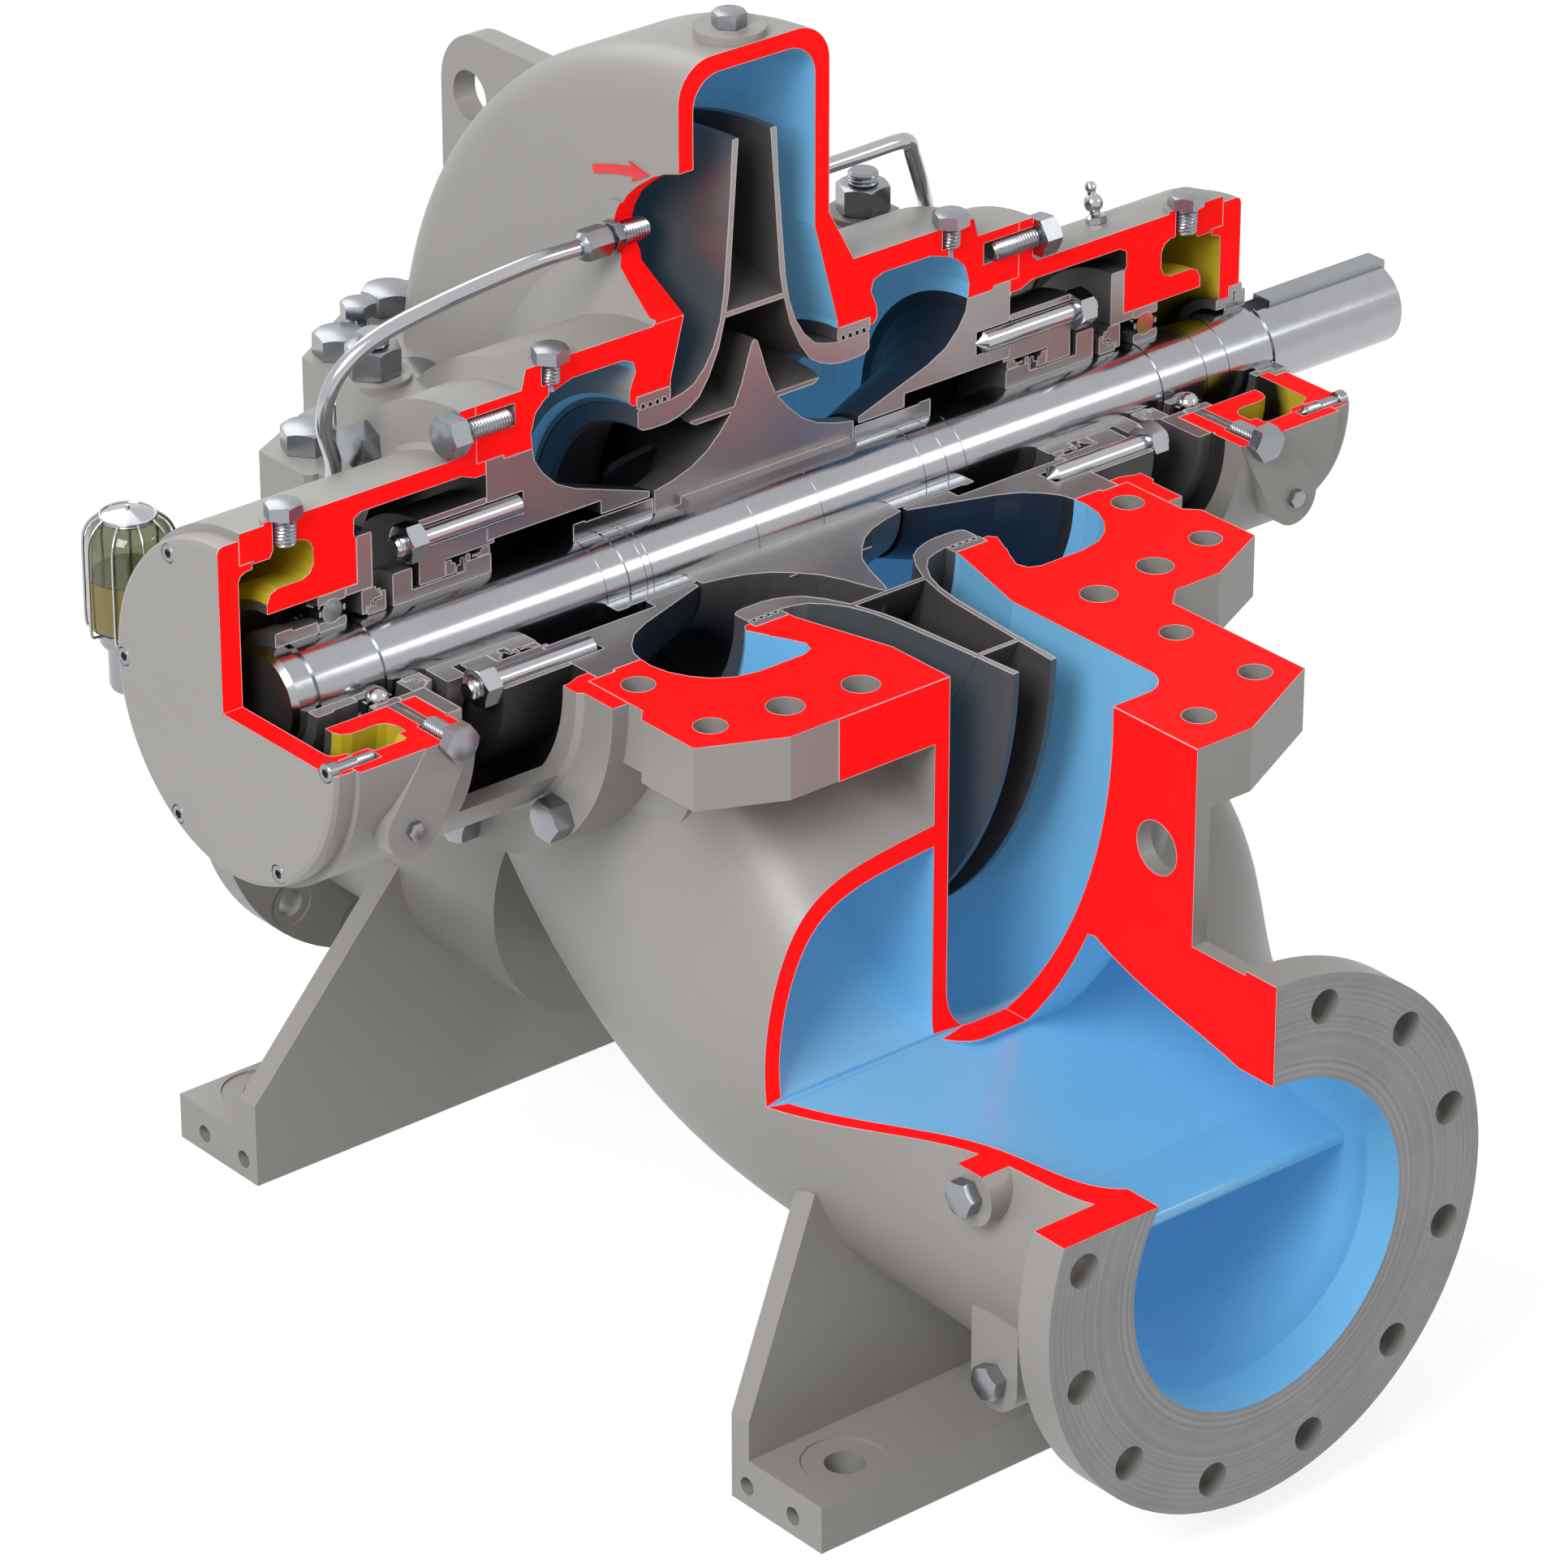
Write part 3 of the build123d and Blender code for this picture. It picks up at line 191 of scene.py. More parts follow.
class SharedEffects:
    """The surface effects that more than one finish uses."""

    def __init__(self) -> None:
        """Build every group once."""
        self.grit = self._grit()
        self.turning = self._turning()
        self.patina = self._patina()
        self.oil_and_shadow = self._oil_and_shadow()

    @staticmethod
    def _grit() -> NodeTree:
        """Sand-cast skin: colour mottle, roughness and height.

        Returns:
            The node group.
        """
        maker = GroupMaker("cast_grit", {"Colour": (0.3, 0.3, 0.3, 1.0), "Grain": 900.0, "Mottle": 0.1,
                                         "Roughness": 0.5}, ("Colour", "Roughness", "Height"))
        fine = maker.noise(maker.place, maker.given["Grain"], 3.0)
        broad = maker.noise(maker.place, 9.0, 2.0)
        pits = maker.noise(maker.place, maker.math("MULTIPLY", maker.given["Grain"], 0.31), 1.0)
        swing = maker.math("SUBTRACT", maker.weigh(broad, 0.7, fine, 0.3), 0.5)
        shade = maker.math("ADD", maker.math("MULTIPLY", swing, maker.given["Mottle"]), 1.0)
        grain = maker.math("MULTIPLY", maker.math("SUBTRACT", fine, 0.5), 0.18)
        return maker.finish(
            Colour=maker.mix(1.0, maker.given["Colour"], maker.join("Color", shade, shade, shade), "MULTIPLY"),
            Roughness=maker.math("ADD", maker.given["Roughness"], grain, True),
            Height=maker.weigh(fine, 0.6, pits, 0.5),
        )

    @staticmethod
    def _turning() -> NodeTree:
        """Tool marks round an axis: rings that repeat with the distance from it.

        Returns:
            The node group.
        """
        maker = GroupMaker("turning_marks", {"Centre": (0.0, 0.0, AXIS_HEIGHT), "Keep": (0.0, 1.0, 1.0),
                                             "Along": (1.0, 0.0, 0.0), "Pitch": 1500.0, "Drift": 220.0}, ("Height",))
        offset = maker.vector("SUBTRACT", maker.place, maker.given["Centre"])
        radius = maker.vector("LENGTH", maker.vector("MULTIPLY", offset, maker.given["Keep"]))
        spot = maker.join("XYZ", radius, maker.vector("DOT_PRODUCT", offset, maker.given["Along"]))
        fine = maker.noise(spot, maker.given["Pitch"], 2.0)
        slow = maker.noise(spot, maker.given["Drift"], 1.0)
        return maker.finish(Height=maker.weigh(fine, 0.7, slow, 0.4))

    @staticmethod
    def _patina() -> NodeTree:
        """Slow change of tone over a smooth surface, with faint smears.

        Returns:
            The node group.
        """
        maker = GroupMaker("patina", {"Colour": (0.5, 0.5, 0.5, 1.0), "Deep": (0.4, 0.4, 0.4, 1.0), "Size": 14.0,
                                      "Roughness": 0.3, "Spread": 0.1, "Shift": 0.0}, ("Colour", "Roughness"))
        broad = maker.noise(maker.place, maker.given["Size"], 3.0)
        fine = maker.noise(maker.place, maker.math("MULTIPLY", maker.given["Size"], 11.0), 2.0)
        share = maker.math("ADD", maker.weigh(broad, 0.75, fine, 0.25), maker.given["Shift"], True)
        swing = maker.math("MULTIPLY", maker.math("SUBTRACT", fine, 0.5), maker.given["Spread"])
        return maker.finish(
            Colour=maker.mix(share, maker.given["Colour"], maker.given["Deep"]),
            Roughness=maker.math("ADD", maker.given["Roughness"], swing, True),
        )

    @staticmethod
    def _oil_and_shadow() -> NodeTree:
        """Coat of oil paint that ends in a painted shadow: a dark round patch about the shaft, with its middle a little
        low.

        Returns:
            The node group.
        """
        maker = GroupMaker("oil_paint_painted_shadow", {"Colour": (0.6, 0.5, 0.03, 1.0), "Deep": (0.02, 0.02, 0.02, 1.0),
                                        "Edge": 0.073, "Sag": 0.45}, ("Colour", "Roughness"))
        parts = add_node(maker.tree, "SeparateXYZ", {0: maker.place}).outputs
        rise = maker.math("SUBTRACT", parts[2], AXIS_HEIGHT)
        flat = maker.join("XYZ", parts[1], rise)
        lift = maker.math("ADD", maker.vector("LENGTH", flat), maker.math("MULTIPLY", rise, maker.given["Sag"]))
        ripple = maker.math("MULTIPLY", maker.noise(flat, 60.0, 2.0), 0.006)
        over = maker.math("SUBTRACT", maker.math("ADD", lift, ripple), maker.given["Edge"])
        share = maker.math("ADD", maker.math("MULTIPLY", over, -70.0), 0.5, True)
        return maker.finish(
            Colour=maker.mix(share, maker.given["Colour"], maker.given["Deep"]),
            Roughness=maker.math("ADD", maker.math("MULTIPLY", share, -0.12), 0.42),
        )


effects = SharedEffects()


@dataclass(frozen=True)
class Finish:
    """A look of a surface, whose colour and roughness come from a shared effect.

    Args:
        name: Material name.
        colour: Its only or light tone.
    """

    name: str
    colour: Triple

    def start(
        self, effect: NodeTree, inputs: Mapping[str, float], plain: Mapping[str, float],
    ) -> tuple[Material, Node, Node]:
        """Start the material.

        Args:
            effect: The shared effect.
            inputs: Values of the effect's inputs, apart from the tones.
            plain: Values of the shader's own inputs.

        Returns:
            The material, its effect node and its shader node.
        """
        material = bpy.data.materials.new(self.name)
        material.use_nodes = True
        tree = material.node_tree
        shader = tree.nodes["Principled BSDF"]
        tones = {"Colour": self.colour, "Deep": getattr(self, "deep", None)}
        feeds = {label: (*tone, 1.0) for label, tone in tones.items() if tone}
        node = add_node(tree, "Group", {**feeds, **inputs}, node_tree=effect)
        for label, value in plain.items():
            shader.inputs[label].default_value = value
        tree.links.new(node.outputs["Colour"], shader.inputs["Base Color"])
        tree.links.new(node.outputs["Roughness"], shader.inputs["Roughness"])
        return material, node, shader

    @staticmethod
    def add_bump(shader: Node, height: NodeSocket, distance: float) -> None:
        """Feed a height into the shader's normal."""
        bump = add_node(shader.id_data, "Bump", {"Strength": 1.0, "Distance": distance, "Height": height})
        shader.id_data.links.new(bump.outputs["Normal"], shader.inputs["Normal"])


@dataclass(frozen=True)
class CastSkin(Finish):
    """Finish of a sand-cast surface under satin paint.

    Args:
        grain: Size of the grit, larger is finer.
        bump: Height of the grit in metres.
        roughness: Middle roughness.
        metallic: How metallic the paint looks.
        mottle: Swing of the tone over the surface.
    """

    grain: float = 900.0
    bump: float = 0.00012
    roughness: float = 0.45
    metallic: float = 0.3
    mottle: float = 0.12

    def build(self) -> Material:
        """Make the material."""
        inputs = {"Grain": self.grain, "Mottle": self.mottle, "Roughness": self.roughness}
        material, grit, shader = self.start(effects.grit, inputs, {"Metallic": self.metallic})
        self.add_bump(shader, grit.outputs["Height"], self.bump)
        return material


@dataclass(frozen=True)
class SmoothCoat(Finish):
    """Finish of a smooth painted surface.

    Args:
        deep: Dark tone of the coat.
        roughness: Middle roughness.
        size: Size of the change in tone, larger is finer.
        metallic: How metallic the coat looks.
        glow: Share of the colour that glows as painted light, so that the surface looks lit where it is in shade.
        coat: Weight of the clear coat.
        shine: Level of the plain reflection.
    """

    deep: Triple
    roughness: float = 0.3
    size: float = 14.0
    metallic: float = 0.0
    glow: float = 0.0
    coat: float = 0.0
    shine: float = 0.5

    def build(self) -> Material:
        """Make the material."""
        plain = {"Metallic": self.metallic, "Specular IOR Level": self.shine, "Coat Weight": self.coat,
                 "Coat Roughness": 0.12}
        inputs = {"Size": self.size, "Roughness": self.roughness}
        material, tone, shader = self.start(effects.patina, inputs, plain)
        # Painted light: the coat's own colour glows by the glow share.
        if self.glow:
            material.node_tree.links.new(tone.outputs["Colour"], shader.inputs["Emission Color"])
            shader.inputs["Emission Strength"].default_value = self.glow
        return material


@dataclass(frozen=True)
class OilPaintAndShadow(Finish):
    """Finish of an end cover's inside: oil paint outside, and a painted shadow, dark, about the shaft.

    Args:
        deep: Tone of the painted shadow about the shaft.
    """

    deep: Triple

    def build(self) -> Material:
        """Make the material."""
        return self.start(effects.oil_and_shadow, {}, {"Metallic": 0.0})[0]


@dataclass(frozen=True)
class TurnedMetal(Finish):
    """Finish of a turned or ground metal surface.

    Args:
        deep: Dark tone of the metal.
        roughness: Middle roughness.
        marks: Height of the tool marks in metres.
        pitch: Closeness of the tool marks.
        centre: A point on the axis of the marks.
        keep: Which axes count for the distance from that point.
        along: Direction that the tool moved in.
        metallic: Share of bare metal in the look.
        ringed: How much the tool marks change the tone.
    """

    deep: Triple
    roughness: float = 0.25
    marks: float = 0.00002
    pitch: float = 1500.0
    centre: Triple = (0.0, 0.0, AXIS_HEIGHT)
    keep: Triple = (0.0, 1.0, 1.0)
    along: Triple = (1.0, 0.0, 0.0)
    metallic: float = 1.0
    ringed: float = 0.0
    middle: ClassVar[float] = 0.55

    def build(self) -> Material:
        """Make the material."""
        material, tone, shader = self.start(effects.patina, {"Roughness": self.roughness}, {"Metallic": self.metallic})
        tree = material.node_tree
        feeds = {"Centre": self.centre, "Keep": self.keep, "Along": self.along, "Pitch": self.pitch}
        height = add_node(tree, "Group", feeds, node_tree=effects.turning).outputs["Height"]
        if self.ringed:
            feeds = {0: height, 1: self.ringed, 2: -self.middle * self.ringed}
            shift = add_node(tree, "Math", feeds, operation="MULTIPLY_ADD")
            tree.links.new(shift.outputs[0], tone.inputs["Shift"])
        self.add_bump(shader, height, self.marks)
        return material


@dataclass(frozen=True)
class ClearBody(Finish):
    """Finish of glass or of a clear liquid.

    Args:
        deep: Tint where it is cloudier.
        ior: Index of refraction.
        roughness: Middle roughness.
        clearness: Share of the light that passes through.
    """

    deep: Triple
    ior: float = 1.45
    roughness: float = 0.03
    clearness: float = 1.0

    def build(self) -> Material:
        """Make the material."""
        plain = {"Metallic": 0.0, "IOR": self.ior, "Transmission Weight": self.clearness}
        return self.start(effects.patina, {"Size": 25.0, "Roughness": self.roughness, "Spread": 0.02}, plain)[0]


class Paint(Enum):
    """The surfaces of the sectioned pump, by what was done to them, each with its finish."""

    CAST = CastSkin("casting_paint", (0.360, 0.346, 0.329), 900.0, 0.00014, 0.44, 0.1)
    # Section red glows at 0.45 of its colour: painted light that keeps it evenly bright.
    SAWN = SmoothCoat("section_red", (0.98, 0.006, 0.006), (0.93, 0.004, 0.004), 0.6, 20.0, 0.0, 0.45, 0.0, 0.12)
    # Wetted blue glows at 0.16 of its colour: painted light that lifts its shaded parts.
    WETTED = SmoothCoat("wetted_blue", (0.19, 0.50, 0.77), (0.16, 0.455, 0.725), 0.28, 9.0, 0.0, 0.16, 0.5)
    OILED = SmoothCoat("oil_chamber_yellow", (0.62, 0.50, 0.03), (0.52, 0.42, 0.02), 0.4, 16.0)
    FACED = TurnedMetal("flange_facing", (0.30, 0.30, 0.30), (0.17, 0.175, 0.18), 0.36, 0.00008, 420.0,
                        (0.0, -0.55, 0.23), (1.0, 0.0, 1.0), (0.0, 1.0, 0.0), 0.6, 2.4)
    # Oil paint with a painted shadow about the shaft.
    OIL_AND_PAINTED_SHADOW = OilPaintAndShadow("oil_paint_and_painted_shadow", (0.62, 0.50, 0.03), (0.018, 0.017, 0.012))
    # Dark casting paint, also used as painted shade on the shaft's blind end.
    DARK_CAST_AND_SHADE = CastSkin("dark_casting_and_painted_shade", (0.05, 0.048, 0.047), 700.0, 0.0001, 0.4, 0.5)
    CUT_STEEL = TurnedMetal("sectioned_steel", (0.38, 0.365, 0.365), (0.29, 0.278, 0.282), 0.34, metallic=0.8)
    DARK_WETTED = SmoothCoat("seal_chamber_lining", (0.035, 0.045, 0.065), (0.018, 0.022, 0.03), 0.3, 12.0, 0.3)
    SHAFT_STEEL = TurnedMetal("ground_shaft_steel", (0.42, 0.43, 0.45), (0.33, 0.34, 0.355), 0.17, 0.000007)
    FIXING = TurnedMetal("plated_fixings", (0.31, 0.325, 0.345), (0.25, 0.26, 0.28), 0.27, 0.000002)
    SEAL_DARK = SmoothCoat("seal_elastomer", (0.03, 0.03, 0.03), (0.02, 0.02, 0.02), 0.5)
    BRIGHT = TurnedMetal("bright_tube", (0.46, 0.47, 0.49), (0.40, 0.41, 0.43), 0.17, 0.000002)
    GLASS = ClearBody("cup_glass", (0.42, 0.45, 0.33), (0.33, 0.36, 0.25), 1.5, 0.05)
    OIL = ClearBody("cup_oil", (0.86, 0.66, 0.14), (0.78, 0.48, 0.12), 1.47, 0.08, 0.25)
    # Light grey bars along the sawn edges: painted highlight.
    RIM_HIGHLIGHT = SmoothCoat("section_rim_highlight", (0.72, 0.69, 0.67), (0.62, 0.59, 0.57), 0.35, 30.0)
    # Raised red glows at 0.12 of its colour: painted light.
    RAISED_RED = SmoothCoat("raised_red_paint", (0.80, 0.025, 0.03), (0.70, 0.018, 0.02), 0.35, 18.0, 0.0, 0.12)
    CARBON = SmoothCoat("seal_carbon", (0.02, 0.02, 0.022), (0.035, 0.035, 0.038), 0.35, 30.0)
    VANE = CastSkin("impeller_skin", (0.165, 0.158, 0.155), 700.0, 0.00012, 0.36, 0.55)


FaceRule = Callable[[Vector, Vector], Paint]


class PaintShop:
    """Makes each finish once and assigns it to faces or whole pieces."""

    def __init__(self) -> None:
        """Start with no material made."""
        self.made: dict[Paint, Material] = {}

    def material(self, paint: Paint) -> Material:
        """The material of one paint, made at its first use."""
        if paint not in self.made:
            self.made[paint] = paint.value.build()
        return self.made[paint]

    def coat(self, piece: Object, paint: Paint) -> None:
        """Give a whole piece one paint."""
        piece.data.materials.clear()
        piece.data.materials.append(self.material(paint))

    def coat_faces(self, piece: Object, choose: FaceRule) -> None:
        """Give each face of a piece the paint that a rule picks for it.

        Args:
            piece: The mesh object.
            choose: Takes the face's centre, measured from the shaft axis in millimetres, and normal.
        """
        mesh = piece.data
        mesh.materials.clear()
        slots: dict[Paint, int] = {}
        for polygon in mesh.polygons:
            paint = choose((polygon.center - SHAFT) * 1000.0, polygon.normal)
            if paint not in slots:
                slots[paint] = len(slots)
                mesh.materials.append(self.material(paint))
            polygon.material_index = slots[paint]


shop = PaintShop()


# Hollows of the casing, which tell painted walls from cast ones


@dataclass(frozen=True)
class HornSection:
    """One section of the suction passage, in millimetres from the shaft axis."""

    y: float
    z: float
    tilt: float
    width: float
    height: float
    power: float

    def blend(self, other: "HornSection", share: float) -> "HornSection":
        """The section part of the way to another one."""
        return HornSection(*[a + share * (b - a) for a, b in zip(astuple(self), astuple(other))])

    def holds(self, point: Vector) -> Pair:
        """Where a point lies against this section.

        Args:
            point: Point in millimetres from the shaft axis.

        Returns:
            Its distance from the section's plane, and its reach, which is under 1 inside the outline.
        """
        turn = math.radians(self.tilt)
        dy, dz = point.y - self.y, point.z - self.z
        ahead = dy * math.cos(turn) + dz * math.sin(turn)
        up = -dy * math.sin(turn) + dz * math.cos(turn)
        across = abs(point.x) / self.width
        rise = abs(up) / (0.5 * self.height)
        return ahead, (across ** self.power + rise ** self.power) ** (1.0 / self.power)


@dataclass(frozen=True)
class CasingHollows:
    """The spaces of the casing that liquid fills."""

    sections: tuple[HornSection, ...] = (
        HornSection(-552.0, -350.0, 0.0, 125.0, 250.0, 2.0),
        HornSection(-512.0, -350.0, 0.0, 125.0, 250.0, 2.0),
        HornSection(-450.0, -347.0, 2.0, 144.0, 270.0, 2.3),
        HornSection(-385.0, -333.0, 8.0, 152.0, 268.0, 2.6),
        HornSection(-275.0, -283.0, 25.0, 199.0, 260.0, 3.6),
        HornSection(-110.5, -194.5, 45.0, 201.0, 320.0, 4.0),
        HornSection(-50.0, -125.0, 63.0, 200.0, 342.0, 4.0),
        HornSection(-4.0, -40.0, 84.0, 198.0, 336.0, 4.0),
        HornSection(0.0, 60.0, 90.0, 198.0, 324.0, 4.0),
    )
    steps: int = 8
    far: float = 30.0
    spiral_start: float = 330.0
    spiral_rate: float = 0.283
    volute_half: float = 55.3
    discharge_drop: float = 350.0

    @cached_property
    def stations(self) -> list[HornSection]:
        """The sections with the steps between them."""
        pairs = zip(self.sections, self.sections[1:])
        return [first.blend(second, step / self.steps) for first, second in pairs for step in range(self.steps + 1)]

    def in_horn(self, point: Vector, normal: Vector) -> bool:
        """Whether a face bounds the suction passage: inside it, or on its wall and facing its middle.

        Args:
            point: Middle of the face.
            normal: Its normal.

        Returns:
            True for a face of the passage.
        """
        station = min(self.stations, key=lambda section: abs(section.holds(point)[0]))
        ahead, reach = station.holds(point)
        if abs(ahead) > self.far:
            return False
        inner_wall = 1.16 if point.y < -462.0 else 1.07
        faces_in = normal.dot(Vector((0.0, station.y, station.z)) - point) > 0.0
        return reach < (inner_wall if faces_in else 0.9)

    def in_volute(self, point: Vector, normal: Vector) -> bool:
        """Whether a face bounds the volute.

        Args:
            point: Middle of the face.
            normal: Its normal.

        Returns:
            True for a face of the spiral or of the flare round the impeller's eye.
        """
        radius = math.hypot(point.y, point.z)
        turn = math.degrees(math.atan2(point.z, point.y)) % 360.0
        limit = self.spiral_start + self.spiral_rate * (turn if turn < 332.0 else 0.0)
        between = abs(point.x) < self.volute_half + 0.8 and radius < limit + 3.0
        flared = 110.0 < radius < 222.0 and abs(point.x) < 92.0 and normal.x * point.x < 0.0
        return between or flared

    @staticmethod
    def in_chamber(point: Vector, normal: Vector, outside: float) -> bool:
        """Whether a face bounds the round chamber at either seal.

        Args:
            point: Middle of the face.
            normal: Its normal.
            outside: Radius from which a face that looks outwards is on the outer skin.

        Returns:
            True for a face of the chamber.
        """
        radius = math.hypot(point.y, point.z)
        looks_out = (normal.y * point.y + normal.z * point.z) / max(radius, 1.0)
        return abs(point.x) < 202.5 and radius < 186.0 and not (radius > outside and looks_out > 0.05)

    def in_discharge(self, point: Vector, normal: Vector) -> bool:
        """Whether a face bounds the discharge passage."""
        drop = point.z + self.discharge_drop
        faces_in = normal.x * point.x + normal.z * drop < 0.0
        return point.y > 150.0 and faces_in and math.hypot(point.x, drop) < 101.0

    def wet(self, point: Vector, normal: Vector) -> bool:
        """Whether a face of the casing is one that liquid touches.

        Args:
            point: Middle of the face, below the axis for the lower casing.
            normal: Its normal.

        Returns:
            True for a wetted face.
        """
        if point.z < 0.0:
            passages = self.in_discharge(point, normal) or self.in_horn(point, normal)
            return self.in_volute(point, normal) or passages or self.in_chamber(point, normal, 186.0)
        return self.in_volute(point, normal) or self.in_chamber(point, normal, 128.0)


hollows = CasingHollows()

WINDOW_OUTLINE = (
    (-8.0, 290.0), (0.0, 288.0), (16.0, 283.0), (28.0, 277.0), (45.0, 265.0), (57.0, 254.0), (65.0, 241.0),
    (68.5, 231.0), (65.0, 217.0), (56.5, 202.0), (37.0, 195.0), (23.0, 190.0), (0.0, 181.0), (-8.0, 179.0),
)


# Planes of the cuts and of the inlet's face, in millimetres, and how near a face has to lie to one of them

CORNER_BACK = -275.5
CORNER_FLOOR = -280.0
INLET_FACE = -550.0
ON_PLANE = 0.4
SQUARE = 0.98


def on_main_cuts(spot: Vector, normal: Vector) -> bool:
    """Whether a face lies in the two planes of the quarter cut."""
    upright = abs(spot.y) < ON_PLANE and normal.y < -SQUARE and spot.z > -0.5
    level = abs(spot.z) < ON_PLANE and normal.z > SQUARE and spot.y < 0.5
    return upright or level


def on_splitter_edge(spot: Vector) -> bool:
    """Whether a face is where the corner cut grazes the splitter, which stays painted there."""
    back = abs(spot.y - CORNER_BACK) < 0.6 and spot.z < -276.0
    floor = abs(spot.z - CORNER_FLOOR) < ON_PLANE and -286.0 < spot.y < -275.0
    return 69.0 < abs(spot.x) < 200.5 and (back or floor)


def on_window_edge(spot: Vector, normal: Vector) -> bool:
    """Whether a face is the broken edge of the window in the volute's side.

    Args:
        spot: Middle of the face, in millimetres from the shaft axis.
        normal: Its normal.

    Returns:
        True for a face that follows the window's outline.
    """
    if not -92.0 < spot.x < -50.0 or abs(normal.x) > 0.03:
        return False
    for (y_1, z_1), (y_2, z_2) in zip(WINDOW_OUTLINE, WINDOW_OUTLINE[1:]):
        run = math.hypot(y_2 - y_1, z_2 - z_1)
        along = ((spot.y - y_1) * (y_2 - y_1) + (spot.z - z_1) * (z_2 - z_1)) / run
        aside = ((spot.y - y_1) * (z_2 - z_1) - (spot.z - z_1) * (y_2 - y_1)) / run
        if abs(aside) < 0.5 and -1.0 < along < run + 1.0:
            return True
    return False


def on_corner_cuts(spot: Vector, normal: Vector) -> bool:
    """Whether a face lies in the planes of the cut through the suction passage.

    Args:
        spot: Middle of the face, in millimetres from the shaft axis.
        normal: Its normal.

    Returns:
        True for a face of that cut, apart from the splitter's edge.
    """
    if spot.y > -275.0 or spot.z < -280.6 or spot.x > 0.6 or on_splitter_edge(spot):
        return False
    side = abs(spot.x) < ON_PLANE and normal.x < -SQUARE
    back = abs(spot.y - CORNER_BACK) < 0.2 and normal.y < -SQUARE
    floor = abs(spot.z - CORNER_FLOOR) < ON_PLANE and normal.z > SQUARE
    return side or back or floor


# Each rule below takes the middle of a face, in millimetres from the shaft axis, and its normal


def casing_paint(spot: Vector, normal: Vector) -> Paint:
    """Paint of a face of the lower or upper casing."""
    if on_main_cuts(spot, normal) or on_corner_cuts(spot, normal) or spot.z > 0.0 and on_window_edge(spot, normal):
        return Paint.SAWN
    if on_splitter_edge(spot):
        return Paint.WETTED
    if abs(spot.y - INLET_FACE) < 0.5 and normal.y < -SQUARE:
        return Paint.FACED
    return Paint.WETTED if hollows.wet(spot, normal) else Paint.CAST


def housing_paint(spot: Vector, normal: Vector) -> Paint:
    """Paint of a face of a bearing housing."""
    if on_main_cuts(spot, normal):
        return Paint.SAWN
    radius, along = math.hypot(spot.y, spot.z), abs(spot.x)
    sump = 391.0 < along < 454.0 and 62.8 < radius < 110.6 and abs(normal.x) < 0.999
    if sump or 391.0 < along < 431.0 and 80.5 < radius < 110.0:
        return Paint.OILED
    if along < 357.5 and radius < 115.8:
        return Paint.DARK_CAST_AND_SHADE
    return Paint.CUT_STEEL if radius < 106.5 else Paint.CAST


def cover_paint(spot: Vector, normal: Vector) -> Paint:
    """Paint of a face of an end cover."""
    if on_main_cuts(spot, normal):
        return Paint.SAWN
    # The inside gets oil paint with a painted shadow about the shaft.
    return Paint.OIL_AND_PAINTED_SHADOW if abs(spot.x) < 456.0 else Paint.CAST


def seal_paint(spot: Vector, normal: Vector) -> Paint:
    """Paint of a face of a seal chamber or gland."""
    if on_main_cuts(spot, normal):
        return Paint.CUT_STEEL
    wet = hollows.in_chamber(spot, normal, 186.0) and abs(spot.x) < 200.0 and math.hypot(spot.y, spot.z) > 50.0
    return Paint.DARK_WETTED if wet else Paint.DARK_CAST_AND_SHADE


def impeller_paint(spot: Vector, normal: Vector) -> Paint:
    """Paint of a face of the impeller."""
    bare = on_main_cuts(spot, normal) or math.hypot(spot.y, spot.z) < 39.0
    return Paint.CUT_STEEL if bare else Paint.VANE


def shaft_paint(spot: Vector, normal: Vector) -> Paint:
    """Paint of a face of the shaft, whose blind end face gets the dark casting paint as painted shade."""
    # Painted shade: the blind end face gets the dark casting paint.
    return Paint.DARK_CAST_AND_SHADE if normal.x < -0.9 and spot.x < -430.0 else Paint.SHAFT_STEEL


FACE_RULES: dict[str, FaceRule] = {
    "_case": casing_paint,
    "_bearing_housing": housing_paint,
    "_end_cover": cover_paint,
    "_seal_chamber": seal_paint,
    "_gland": seal_paint,
    "impeller": impeller_paint,
    "shaft": shaft_paint,
}

WHOLE_PAINTS: dict[Paint, tuple[str, ...]] = {
    Paint.CAST: ("foot",),
    Paint.FIXING: ("screws", "bolts", "plugs", "coupling_key", "oiler_body"),
    Paint.BRIGHT: ("balls", "nipple", "studs", "tube"),
    Paint.SEAL_DARK: ("isolator",),
    Paint.SHAFT_STEEL: ("shaft_sleeve",),
}


class CarriedNodes:
    """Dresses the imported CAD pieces."""

    def dress(self) -> None:
        """Paint every node, by face where a rule fits its name's end and as a whole elsewhere."""
        for name, piece in sorted(frame["nodes"].items()):
            rule = next((rule for end, rule in FACE_RULES.items() if name.endswith(end)), None)
            if rule:
                shop.coat_faces(piece, rule)
            else:
                fits = (paint for paint, words in WHOLE_PAINTS.items() if any(word in name for word in words))
                shop.coat(piece, next(fits, Paint.CUT_STEEL))
            log.info("dressed %s: %d faces", name, len(piece.data.polygons))


# Turned and threaded parts


